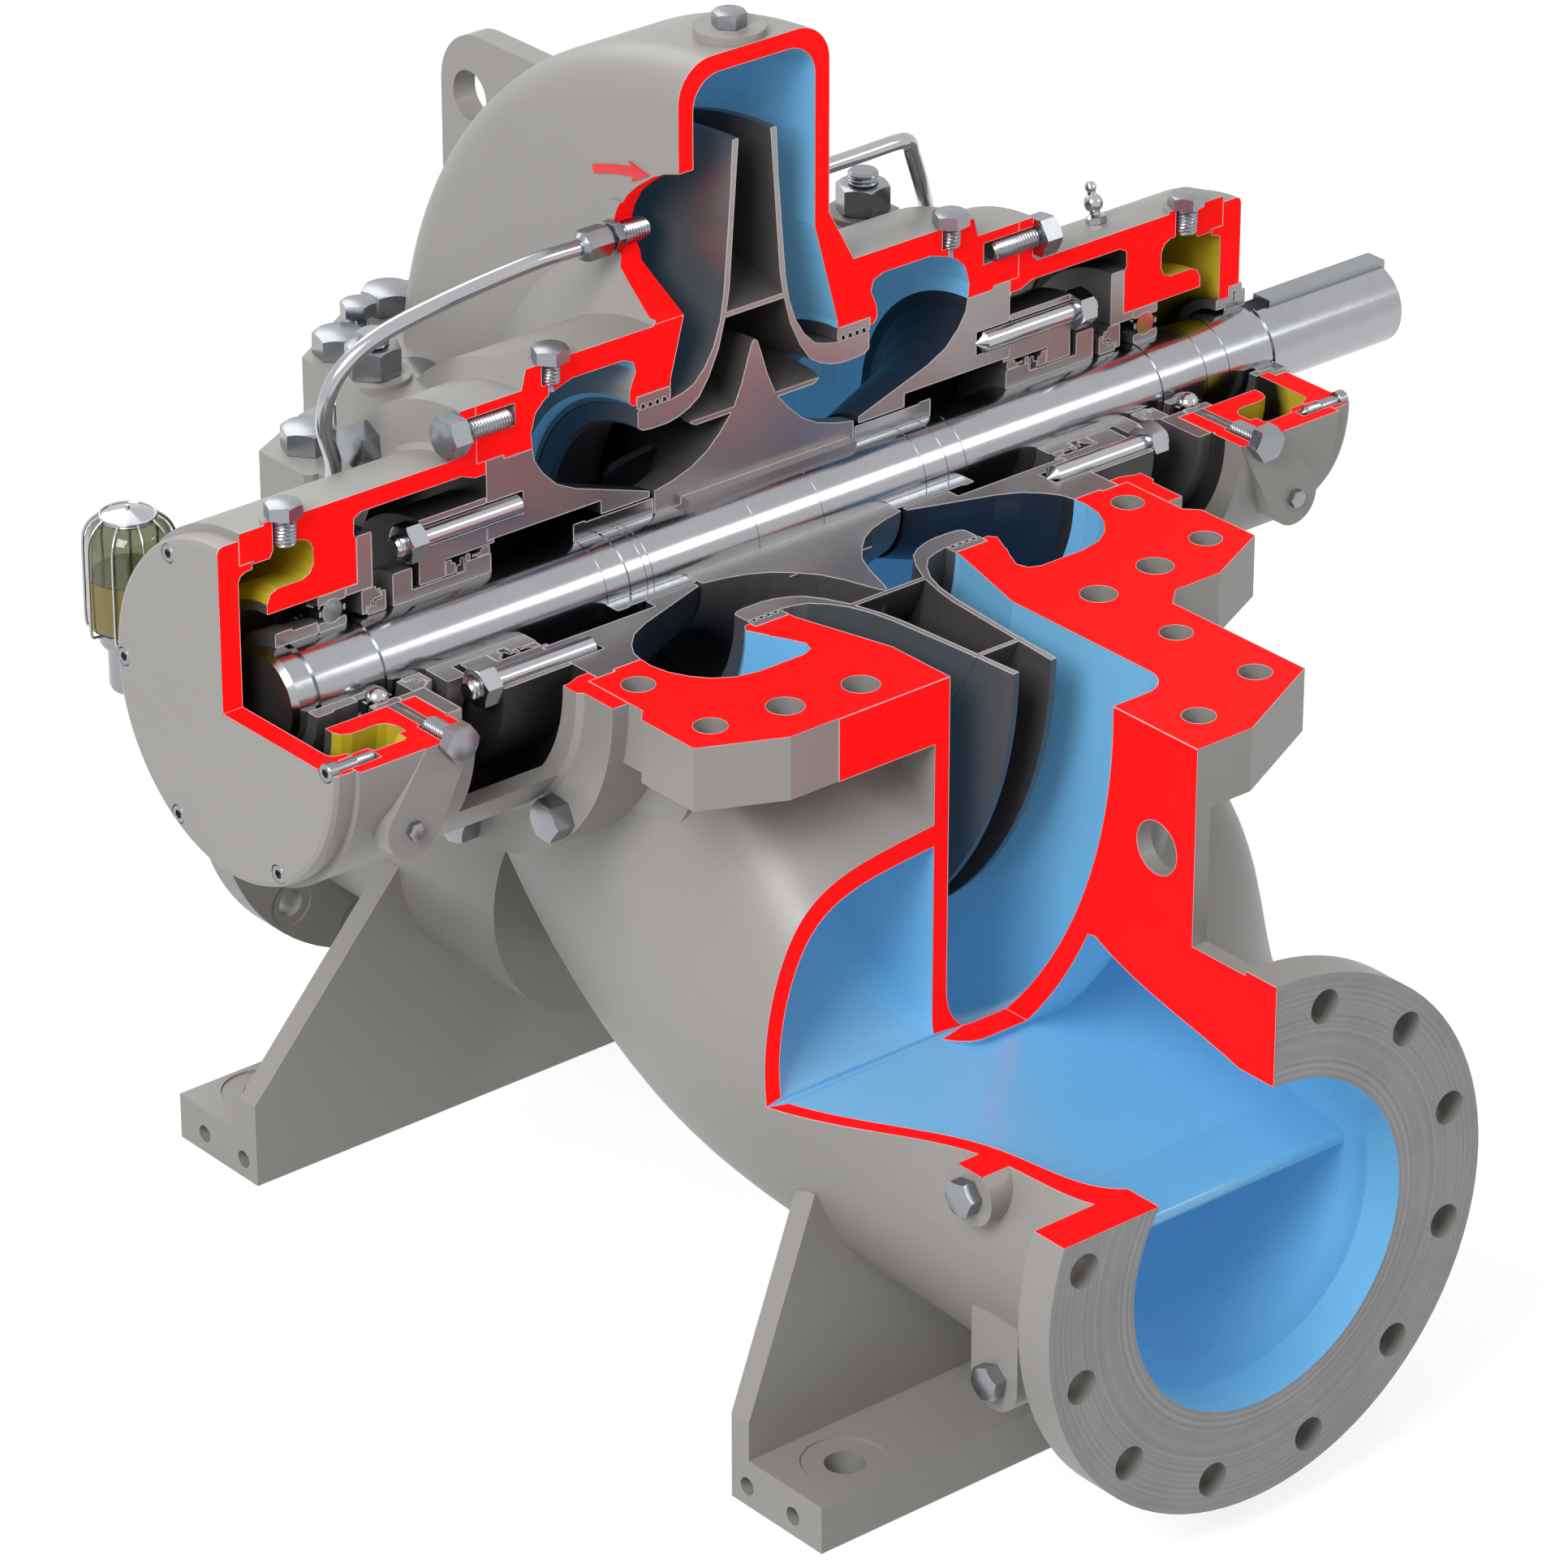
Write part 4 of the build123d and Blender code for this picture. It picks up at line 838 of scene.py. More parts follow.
@dataclass(frozen=True)
class Seat:
    """Where a fixing sits: a point in millimetres from the shaft axis and the way its head looks."""

    x: float
    y: float
    z: float
    out: Triple = (0.0, 0.0, 1.0)
    spin: float = 0.0

    @staticmethod
    def on_circle(hand: float, x: float, radius: float, turn: float, spin: float) -> "Seat":
        """Seat on a circle about the shaft, facing the end of its side, at an angle in radians."""
        return Seat(hand * x, *polar(radius, turn), (hand, 0.0, 0.0), spin)

    def matrix(self) -> Matrix:
        """Placement of a shape that was made along +Z in millimetres."""
        move = Matrix.Translation(shaft_point(self.x, self.y, self.z))
        turn = Vector(self.out).to_track_quat("Z", "Y").to_matrix().to_4x4()
        return move @ turn @ Matrix.Rotation(math.radians(self.spin), 4, "Z") @ Matrix.Scale(0.001, 4)


RingRule = Callable[[float], Pair]
Rings = list[RingRule]
Shape = tuple[Rings, Seat]


def plain(*sizes: Pair) -> Rings:
    """Round rings, each from its radius and height."""
    return [lambda turn, size=size: size for size in sizes]


def hex_reach(half_flat: float, turn: float) -> float:
    """Distance from the axis to the side of a hexagon at an angle in radians."""
    sector = math.pi / 3.0
    return half_flat / math.cos((turn % sector) - 0.5 * sector)


def hex_ring(half_flat: float, height: float) -> RingRule:
    """Ring that follows a hexagon."""
    return lambda turn: (hex_reach(half_flat, turn), height)


def bevelled_hex_ring(half_flat: float, height: float, way: float) -> RingRule:
    """Upper or lower edge of a hexagon whose corners are turned off at thirty degrees.

    Args:
        half_flat: Half the width across flats.
        height: Height of the face that the bevel runs out to.
        way: 1 for a bevel at the top of a head, -1 for one at the bottom.

    Returns:
        The ring rule.
    """
    slope = math.tan(math.radians(30.0))

    def rule(turn: float) -> Pair:
        """Radius and height of the edge at an angle."""
        reach = hex_reach(half_flat, turn)
        return reach, height - way * slope * (reach - 0.97 * half_flat)

    return rule


def thread_ring(root: float, crest: float, height: float, pitch: float) -> RingRule:
    """Ring through a helical thread at one height."""

    def rule(turn: float) -> Pair:
        """Radius and height of the thread at an angle."""
        phase = (height / pitch - turn / math.tau) % 1.0
        return root + (crest - root) * (1.0 - abs(2.0 * phase - 1.0)), height

    return rule


def threads(radius: float, pitch: float, low: float, high: float) -> Rings:
    """Rings of a thread from a low to a high point.

    Args:
        radius: Outer radius of the thread.
        pitch: Rise of one turn.
        low: Height where it starts.
        high: Height where it ends.

    Returns:
        The rings, upwards.
    """
    count = max(2, int((high - low) / (0.25 * pitch)))
    depth = 0.55 * pitch
    heights = [low + (high - low) * index / count for index in range(1, count)]
    turns = [thread_ring(radius - depth, radius, height, pitch) for height in heights]
    return [*plain((radius - depth, low)), *turns, *plain((radius - 0.3 * depth, high))]


def hex_head(half_flat: float, seat: float, height: float) -> Rings:
    """Rings of a hexagon head with a washer face below and turned corners above."""
    washer = plain((0.95 * half_flat, seat), (0.95 * half_flat, seat + 0.4))
    sides = [hex_ring(half_flat, seat + 0.5), bevelled_hex_ring(half_flat, seat + height, 1.0)]
    return [*washer, *sides, *plain((0.93 * half_flat, seat + height))]


def hex_nut(half_flat: float, seat: float, height: float) -> Rings:
    """Rings of a nut whose corners are turned at both ends."""
    sides = [bevelled_hex_ring(half_flat, seat, -1.0), bevelled_hex_ring(half_flat, seat + height, 1.0)]
    return [*plain((0.93 * half_flat, seat)), *sides, *plain((0.93 * half_flat, seat + height))]


def bolt_rings(half_flat: float, head: float, radius: float, length: float, pitch: float) -> Rings:
    """Rings of a whole bolt, from its tip up to its head.

    Args:
        half_flat: Half the width across flats of the head.
        head: Height of the head.
        radius: Outer radius of the thread.
        length: Length below the head.
        pitch: Pitch of the thread.

    Returns:
        The rings, upwards.
    """
    tip = plain((radius - 0.9 * pitch, -length), (radius - 0.5 * pitch, 0.4 * pitch - length))
    thread = threads(radius, pitch, 0.5 * pitch - length, -1.0)
    return [*tip, *thread, *plain((radius - 0.4 * pitch, -0.6)), *hex_head(half_flat, 0.0, head)]


def stud_rings(half_flat: float, nut: float, radius: float, below: float, above: float, pitch: float) -> Rings:
    """Rings of a stud with its nut: the plain shank, the nut and the threaded end above it.

    Args:
        half_flat: Half the width across flats of the nut.
        nut: Height of the nut.
        radius: Radius of the stud.
        below: Length below the nut.
        above: Length above the nut.
        pitch: Pitch of the thread.

    Returns:
        The rings, upwards.
    """
    top = nut + above
    shank = plain((radius - 1.5, -below), (radius, 1.5 - below), (radius, -0.2))
    end = plain((radius - 0.4, top - 1.8), (radius - 2.2, top))
    return [*shank, *hex_nut(half_flat, 0.0, nut), *threads(radius, pitch, nut + 0.2, top - 2.0), *end]


def cap_screw_rings(radius: float, head: float, shank: float, length: float, pitch: float) -> Rings:
    """Rings of a socket head screw, with its six-sided socket.

    Args:
        radius: Radius of the head.
        head: Height of the head.
        shank: Radius of the shank.
        length: Length below the head.
        pitch: Pitch of the thread.

    Returns:
        The rings, from the tip up and down into the socket.
    """
    socket = 0.46 * radius
    rings = plain((0.15, -length - 3.0), (shank - 0.8, -length))
    rings += threads(shank, pitch, -length + 0.3, -0.55 * length)
    rings += plain((shank, -0.5 * length), (shank, -0.1), (radius - 0.3, 0.0), (radius, 0.3), (radius, head - 0.7),
                   (radius - 0.7, head))
    return [*rings, hex_ring(socket, head), hex_ring(socket, 0.45 * head), *plain((0.1, 0.3 * head))]


def add_piece(name: str, data: ID, paint: Paint, body: str) -> Object:
    """Put a piece in the scene, paint it and let it ride a body.

    Args:
        name: Name of the piece.
        data: Its mesh or curve.
        paint: Its paint.
        body: The body it moves with.

    Returns:
        The object.
    """
    piece = bpy.data.objects.new(name, data)
    bpy.context.scene.collection.objects.link(piece)
    shop.coat(piece, paint)
    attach(piece, body)
    log.info("made %s", name)
    return piece


class SkinnedMesh:
    """Gathers closed shapes, made of rows of points, into one mesh object."""

    segments = 48

    def __init__(self) -> None:
        """Start empty."""
        self.points: list[Vector] = []
        self.faces: list[tuple[int, ...]] = []

    def skin(self, rows: Sequence[Sequence[Vector]]) -> None:
        """Add one closed shape.

        Args:
            rows: Closed rows of as many points each. Each is joined to the next, and both ends are filled.
        """
        first, count = len(self.points), len(rows[0])
        self.points += [point for row in rows for point in row]
        for level in range(len(rows) - 1):
            for index in range(count):
                a = first + level * count + index
                b = first + level * count + (index + 1) % count
                self.faces.append((a, b, b + count, a + count))
        last = first + (len(rows) - 1) * count
        self.faces.append((first, *range(first + count - 1, first, -1)))
        self.faces.append(tuple(range(last, last + count)))

    def add(self, rings: Rings, seat: Seat) -> None:
        """Add one closed shape that is made of rings round its own Z axis.

        Args:
            rings: The rings from one end to the other.
            seat: Placement of the shape.
        """
        place = seat.matrix()
        turns = [math.tau * index / self.segments for index in range(self.segments)]

        def spot(ring: RingRule, turn: float) -> Vector:
            """Point of one ring at an angle."""
            radius, height = ring(turn)
            return place @ Vector((*polar(radius, turn), height))

        self.skin([[spot(ring, turn) for turn in turns] for ring in rings])

    def make(
        self, name: str, paint: Paint, body: str, slot: str, angle: float = 32.0, turn_out: bool = False,
    ) -> Object:
        """Write the mesh object, paint it and let it ride a body.

        Args:
            name: Name of the piece.
            paint: Its paint.
            body: The body it moves with.
            slot: The record's material slot; not used.
            angle: Angle in degrees from which an edge is sharp, or 0 for a mesh of flat faces.
            turn_out: Whether the shapes' rows may run either way, so that the normals are turned outwards.

        Returns:
            The object.
        """
        mesh = bpy.data.meshes.new(name)
        mesh.from_pydata([tuple(point) for point in self.points], [], self.faces)
        if angle or turn_out:
            work = bmesh.new()
            work.from_mesh(mesh)
            if turn_out:
                bmesh.ops.recalc_face_normals(work, faces=work.faces)
            for face in work.faces:
                face.smooth = angle > 0.0
            for edge in work.edges:
                edge.smooth = len(edge.link_faces) == 2 and edge.calc_face_angle(0.0) < math.radians(angle)
            work.to_mesh(mesh)
            work.free()
        return add_piece(name, mesh, paint, body)


SIDES = ((-1.0, "left"), (1.0, "right"))
FRONT = (0.0, -1.0, 0.0)


@dataclass(frozen=True)
class CasingFixings:
    """Bolts, studs and plugs of the casing and the bearing housings, with threads and turned corners."""

    rear_bolts: tuple[Pair, ...] = ((110.0, 258.0), (112.0, 342.0), (35.0, 384.0), (171.0, 240.0), (229.0, 225.0))
    housing_angles: tuple[float, ...] = (45.0, 90.0, 225.0, 270.0, 315.0)
    cover_angles: tuple[float, ...] = (0.0, 60.0, 180.0, 240.0, 300.0)

    def build(self) -> None:
        """Make every group and take the plain CAD pieces' places."""
        groups = [("casing_bolts", "threaded", self._casing_bolts), ("housing_bolts", "threaded", self._housing_bolts),
                  ("cover_screws", "socketed", self._cover_screws), ("pipe_plugs", "threaded", self._plugs)]
        for name, ending, shapes in groups:
            pairs = [shape for hand, _ in SIDES for shape in shapes(hand)]
            self._make(name, ending, pairs, Paint.FIXING)
        for hand, word in SIDES:
            self._make(f"{word}_gland_studs", "threaded", self._gland_studs(hand), Paint.BRIGHT)

    @staticmethod
    def _make(name: str, ending: str, shapes: list[Shape], paint: Paint) -> None:
        """Make one piece.

        Args:
            name: CAD piece that it takes the place of.
            ending: Last word of its own name.
            shapes: Its fixings.
            paint: Its paint.
        """
        mesh = SkinnedMesh()
        for rings, seat in shapes:
            mesh.add(rings, seat)
        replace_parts(mesh.make(f"{name}_{ending}", paint, "case", "fixing_steel"), name)

    def _casing_bolts(self, hand: float) -> list[Shape]:
        """Studs and bolts of the split flange on one side."""
        bolts = [(bolt_rings(18.0, 17.5, 12.0, 70.0, 3.0), Seat(hand * x, y, 48.0, spin=17.0 * index))
                 for index, (x, y) in enumerate(self.rear_bolts)]
        return [(stud_rings(18.0, 22.0, 12.0, 150.0, 10.0, 3.0), Seat(hand * 227.0, 147.0, 133.0, spin=8.0)), *bolts,
                (bolt_rings(12.0, 11.0, 8.0, 14.0, 2.0), Seat(hand * 78.0, 364.0, 62.0, spin=11.0))]

    def _housing_bolts(self, hand: float) -> list[Shape]:
        """Bolts through the bearing housing's flange on one side."""
        return [(bolt_rings(14.0, 16.0, 8.0, 42.0, 2.5),
                 Seat.on_circle(hand, 264.0, 149.0, math.radians(angle), 15.0 + 20.0 * angle / 45.0))
                for angle in self.housing_angles]

    def _cover_screws(self, hand: float) -> list[Shape]:
        """Socket head screws of the end cover on one side."""
        return [(cap_screw_rings(6.8, 8.2, 4.5, 31.0, 1.25),
                 Seat.on_circle(hand, 463.5, 115.4, math.radians(angle), 20.0)) for angle in self.cover_angles]

    @staticmethod
    def _plugs(hand: float) -> list[Shape]:
        """Hexagon plugs of one side's chambers, oil spaces and bosses, and the volute's with those of the right."""
        side = (hand, 0.0, 0.0)
        top = [(hex_head(11.0, 0.0, 11.0), Seat(0.0, 27.0, 373.5, spin=12.0))]
        return [
            (bolt_rings(12.0, 10.5, 7.5, 17.0, 2.5), Seat(hand * 184.0, 0.0, 180.5, spin=10.0)),
            (bolt_rings(12.0, 10.5, 9.3, 21.0, 2.6), Seat(hand * 415.5, 0.0, 132.0, spin=10.0)),
            (bolt_rings(12.5, 11.0, 7.7, 28.0, 2.4), Seat(hand * 374.0, -131.0, 0.0, FRONT, 5.0)),
            (hex_head(6.2, 0.0, 5.0), Seat(hand * 410.0, -131.0, -57.0, FRONT)),
            (hex_head(12.0, 0.0, 11.0), Seat(hand * 170.0, -431.0, -299.0, side, 9.0)),
            (hex_head(12.0, 0.0, 11.0), Seat(hand * 150.0, -437.0, -452.0, side, 21.0)),
            *(top if hand > 0.0 else []),
        ]

    @staticmethod
    def _gland_studs(hand: float) -> list[Shape]:
        """Studs and nuts that hold one gland."""
        rings = plain((0.3, -93.0)) + stud_rings(13.2, 15.0, 8.3, 88.0, 7.0, 2.0)
        return [(rings, Seat.on_circle(hand, 302.0, 79.7, 0.5 * math.pi * index, 12.0)) for index in range(4)]


# Small assemblies


def rounded_path(corners: Sequence[Triple], steps: int) -> list[Vector]:
    """Smooth path through points in millimetres, as a Catmull-Rom curve.

    Args:
        corners: Points that the path goes through.
        steps: Number of short pieces between two points.

    Returns:
        Points in metres.
    """
    points = [shaft_point(*corner) for corner in corners]
    padded = [2.0 * points[0] - points[1], *points, 2.0 * points[-1] - points[-2]]
    path: list[Vector] = []
    for index in range(1, len(padded) - 2):
        a, b, c, d = padded[index - 1:index + 3]
        for step in range(steps):
            t = step / steps
            bend = (2.0 * a - 5.0 * b + 4.0 * c - d) * t * t + (3.0 * b - a - 3.0 * c + d) * t * t * t
            path.append(0.5 * (2.0 * b + (c - a) * t + bend))
    return [*path, points[-1]]


@dataclass(frozen=True)
class WireWork:
    """Bright round wires or tubes along lists of points, fixed to the case.

    Args:
        name: Name of the piece.
        slot: The record's material slot; not used.
        radius: Radius of the wire in metres.
        sides: Half the number of sides of the wire.
        closed: Whether each path is a loop.
    """

    name: str
    slot: str
    radius: float
    sides: int
    closed: bool = False

    def build(self, paths: Sequence[Sequence[Vector]]) -> None:
        """Make the piece.

        Args:
            paths: Point lists, in metres.
        """
        curve = bpy.data.curves.new(self.name, "CURVE")
        curve.dimensions = "3D"
        curve.bevel_depth = self.radius
        curve.bevel_resolution = self.sides
        curve.use_fill_caps = True
        for path in paths:
            spline = curve.splines.new("POLY")
            spline.points.add(len(path) - 1)
            for point, place in zip(spline.points, path):
                point.co = (*place, 1.0)
            spline.use_cyclic_u = self.closed
            spline.use_smooth = True
        add_piece(self.name, curve, Paint.BRIGHT, "case")


@dataclass(frozen=True)
class FlushLine:
    """Bright tube from the volute's side wall to a gland, with its two screwed ends."""

    hand: float
    word: str
    route: tuple[Triple, ...]
    tap: Pair = (65.0, 222.0)

    def build(self) -> None:
        """Make the tube and its fittings in place of the plain CAD line."""
        WireWork(f"{self.word}_flush_tube_bent", "steel", 0.006, 8).build([rounded_path(self.route, 10)])
        mesh = SkinnedMesh()
        screwed = [*plain((6.2, -26.0)), *threads(8.7, 2.5, -25.5, -0.2), *hex_nut(11.0, 0.0, 7.5)]
        sleeve = [*threads(8.7, 1.6, 7.6, 10.0), *hex_nut(10.6, 10.5, 21.0)]
        sleeve += plain((8.4, 33.5), (7.6, 35.0), (6.1, 35.2))
        mesh.add(screwed + sleeve, Seat(self.hand * 72.0, *self.tap, (self.hand, 0.0, 0.0), 9.0))
        x, y, z = self.route[-1]
        nut = [*plain((5.0, -3.0)), *hex_nut(9.5, 0.0, 14.0), *plain((7.0, 17.0))]
        mesh.add(nut, Seat(x, y + 1.0, z, (0.0, 1.0, 0.12)))
        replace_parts(mesh.make(f"{self.word}_flush_fittings", Paint.FIXING, "case", "steel"), f"{self.word}_flush_tube")


LEFT_ROUTE = (
    (-105.0, 65.0, 222.0), (-150.0, 65.0, 222.0), (-222.0, 70.0, 212.0), (-275.0, 78.0, 197.0), (-304.0, 86.0, 173.0),
    (-312.0, 92.0, 139.0), (-296.0, 104.0, 98.0), (-281.0, 128.0, 62.0), (-275.0, 126.0, 35.0), (-274.0, 112.0, 18.0),
)
RIGHT_ROUTE = (
    (105.0, 65.0, 222.0), (150.0, 65.0, 222.5), (188.0, 65.0, 223.0), (203.0, 69.0, 218.0), (213.0, 76.0, 204.0),
    (235.0, 92.0, 171.0), (262.0, 116.0, 135.0), (280.0, 130.0, 102.0), (280.0, 133.0, 66.0), (275.0, 126.0, 35.0),
    (274.0, 112.0, 18.0),
)


@dataclass(frozen=True)
class LevelOiler:
    """Constant level oiler: a glass cup of oil in a wire guard over a metal foot."""

    x: float = -416.0
    y: float = 184.0
    low: float = -18.5
    wires: int = 9
    hoop_steps: int = 40
    cup_outside: tuple[Pair, ...] = (
        (27.0, 0.0), (30.5, 2.0), (31.5, 6.0), (31.5, 62.0), (31.0, 68.0), (29.0, 74.0), (25.5, 79.0), (20.0, 83.0),
    )
    cup_inside: tuple[Pair, ...] = ((18.5, 81.0), (24.0, 77.0), (27.0, 72.5), (28.6, 67.0), (29.0, 62.0), (29.0, 41.0))
    oil: tuple[Pair, ...] = ((27.0, 2.6), (28.8, 6.0), (28.8, 40.0))
    cap: tuple[Pair, ...] = ((18.0, 81.0), (20.5, 83.5), (19.5, 85.5), (12.0, 87.5), (2.0, 90.0), (1.2, 92.5))
    foot: tuple[Pair, ...] = (
        (12.0, -50.0), (16.8, -48.0), (18.2, -44.5), (18.2, -16.0), (22.0, -14.0), (23.8, -11.0), (23.8, -2.5),
        (21.0, 0.0),
    )
    guard: tuple[Pair, ...] = (
        (21.0, -3.0), (29.0, -2.5), (33.0, 1.0), (33.2, 30.0), (33.0, 63.0), (31.5, 72.0), (27.0, 79.5), (20.0, 85.5),
    )
    hoops: tuple[Pair, ...] = ((22.6, -2.0), (19.8, 85.5))

    def build(self) -> None:
        """Make the foot, cup, oil, cap and guard in place of the plain CAD pieces."""
        place = Seat(self.x, self.y, self.low)
        arm = Seat(self.x, 119.0, -45.0, (0.0, 1.0, 0.0))
        foot = SkinnedMesh()
        foot.add(plain(*self.foot), place)
        foot.add(plain((8.0, 0.0), (8.0, 62.0)), arm)
        foot.add(hex_nut(11.5, 7.0, 9.0), arm)
        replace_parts(foot.make("oiler_foot", Paint.FIXING, "case", "fixing_steel"), "oiler_body")
        made = {}
        for name, sizes, paint, slot in (
            ("oiler_glass", self.cup_outside + self.cup_inside, Paint.GLASS, "clear_cup"),
            ("oiler_oil_fill", self.oil, Paint.OIL, "clear_cup"),
            ("oiler_cap", self.cap, Paint.BRIGHT, "fixing_steel"),
        ):
            mesh = SkinnedMesh()
            mesh.add(plain(*sizes), place)
            made[name] = mesh.make(name, paint, "case", slot)
        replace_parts(made["oiler_glass"], "oiler_cup")
        self._guard()

    def _around(self, radius: float, height: float, turn: float) -> Triple:
        """Point round the cup's axis, in millimetres from the shaft axis."""
        across, deep = polar(radius, turn)
        return self.x + across, self.y + deep, self.low + height

    def _guard(self) -> None:
        """Wire guard: upright wires over the shoulder, joined by a hoop at the top and bottom."""
        turns = [math.tau * (index + 0.35) / self.wires for index in range(self.wires)]
        paths = [rounded_path([self._around(*size, turn) for size in self.guard], 4) for turn in turns]
        WireWork("oiler_guard_wires", "fixing_steel", 0.00115, 3).build(paths)
        turns = [math.tau * index / self.hoop_steps for index in range(self.hoop_steps)]
        loops = [[shaft_point(*self._around(*size, turn)) for turn in turns] for size in self.hoops]
        WireWork("oiler_guard_hoops", "fixing_steel", 0.0012, 3, True).build(loops)


@dataclass(frozen=True)
class GreaseNipple:
    """Nipple on the right bearing housing."""

    seat: Seat = Seat(352.0, 28.0, 127.0, (-0.05, 0.22, 1.0))
    ball: float = 7.4
    ball_height: float = 15.5

    def build(self) -> None:
        """Make the nipple in place of the plain CAD one."""
        arc = [polar(self.ball, math.radians(-60.0 + 15.0 * step)) for step in range(9)]
        sizes = [(4.2, 7.0), (4.0, 9.5), *[(radius, self.ball_height + rise) for radius, rise in arc],
                 (3.2, 23.5), (3.4, 25.0), (4.6, 27.0), (4.4, 29.0), (2.6, 31.5)]
        mesh = SkinnedMesh()
        mesh.add([*plain((5.0, -1.0)), *hex_head(7.0, 0.0, 5.5), *plain(*sizes)], self.seat)
        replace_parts(mesh.make("grease_nipple_turned", Paint.BRIGHT, "case", "fixing_steel"), "grease_nipple")


@dataclass(frozen=True)
class TurnArrow:
    """Raised red arrow on the volute's left side wall that shows the way the rotor turns."""

    radius: float = 279.0
    start: float = 70.5
    stop: float = 83.5
    wall: float = -68.7
    rise: float = 1.6
    sunk: float = 0.5
    steps: int = 8
    half: float = 3.2
    barb: float = 7.5

    def build(self) -> None:
        """Make the arrow as a thin solid."""
        neck = self.stop - 3.6
        angles = [self.start + step / self.steps * (neck - self.start) for step in range(self.steps + 1)]
        head = [(self.radius + self.barb, neck - 0.6), (self.radius, self.stop), (self.radius - self.barb, neck - 0.6)]
        outline = [(self.radius + self.half, angle) for angle in angles] + head
        outline += [(self.radius - self.half, angle) for angle in reversed(angles)]
        flat = [polar(radius, math.radians(angle)) for radius, angle in outline]
        mesh = SkinnedMesh()
        mesh.skin([[shaft_point(x, y, z) for y, z in flat] for x in (self.wall + self.sunk, self.wall - self.rise)])
        mesh.make("turn_arrow", Paint.RAISED_RED, "case", "casting", 0.0, True)


@dataclass(frozen=True)
class VoluteEndWall:
    """Cast wall that closes the end of the volute's spiral above the discharge branch."""

    begin: float = 329.7
    inner: float = 340.0
    outer: float = 440.4
    half: float = 68.8
    corner: float = 30.0
    tightest: float = 6.0
    steps: int = 8
    dome: tuple[Pair, ...] = ((0.0, 0.0), (1.6, 0.0), (2.4, 1.2), (3.0, 3.6), (3.3, 8.0), (3.4, 16.0))

    def build(self) -> None:
        """Make the wall as a closed body whose outer edge is rounded like the volute's."""
        rows = []
        for ahead, inset in self.dome:
            turn = math.radians(self.begin + ahead)
            rows.append([shaft_point(x, *polar(radius, turn)) for x, radius in self._outline(inset)])
        mesh = SkinnedMesh()
        mesh.skin(rows)
        mesh.make("volute_end_wall", Paint.CAST, "case", "casting", 40.0, True)

    def _outline(self, inset: float) -> list[Pair]:
        """Outline of the wall.

        Args:
            inset: How far its sides and outer edge are moved in.

        Returns:
            Pairs of x and radius.
        """
        half, top, corner = self.half - inset, self.outer - inset, max(self.corner - inset, self.tightest)
        arc = [polar(corner, 0.5 * math.pi * step / self.steps) for step in range(self.steps + 1)]
        right = [(half - corner + across, top - corner + up) for across, up in arc]
        left = [(-x, radius) for x, radius in reversed(right)]
        return [(half, self.inner), *right, *left, (-half, self.inner)]


# Section rings, and rims that are a painted highlight


Profile = tuple[Pair, ...]


def box(near: float, far: float, inner: float, outer: float) -> Profile:
    """Rectangular profile between two distances along the shaft and two radii."""
    return (near, inner), (near, outer), (far, outer), (far, inner)


@dataclass(frozen=True)
class SectionRing:
    """Small ring parts of one kind, cut open with the rest of the pump.

    Args:
        name: Name of the kind, which follows the side.
        body: Body that the parts move with.
        paint: Their paint.
        profiles: Closed outlines as (distance along the shaft, radius) pairs for the right side.
        slot: The record's material slot.
        sides: Sides that have them.
        replaced: CAD piece of each side that they take the place of, if any.
    """

    name: str
    body: str
    paint: Paint
    profiles: tuple[Profile, ...]
    slot: str = "seal_steel"
    sides: tuple[tuple[float, str], ...] = SIDES
    replaced: str = ""
    steps: ClassVar[int] = 60

    def build(self) -> list[tuple[Object, str]]:
        """Make the parts.

        Returns:
            Each piece with the body it rides.
        """
        made = []
        turns = [math.radians(-180.0 + 270.0 * step / self.steps) for step in range(self.steps + 1)]
        for hand, side in self.sides:
            mesh = SkinnedMesh()
            for profile in self.profiles:
                mesh.skin([[shaft_point(hand * x, *polar(radius, turn)) for x, radius in profile] for turn in turns])
            piece = mesh.make(f"{side}_{self.name}", self.paint, self.body, self.slot, 30.0, True)
            if self.replaced:
                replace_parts(piece, f"{side}_{self.replaced}")
            made.append((piece, self.body))
        return made


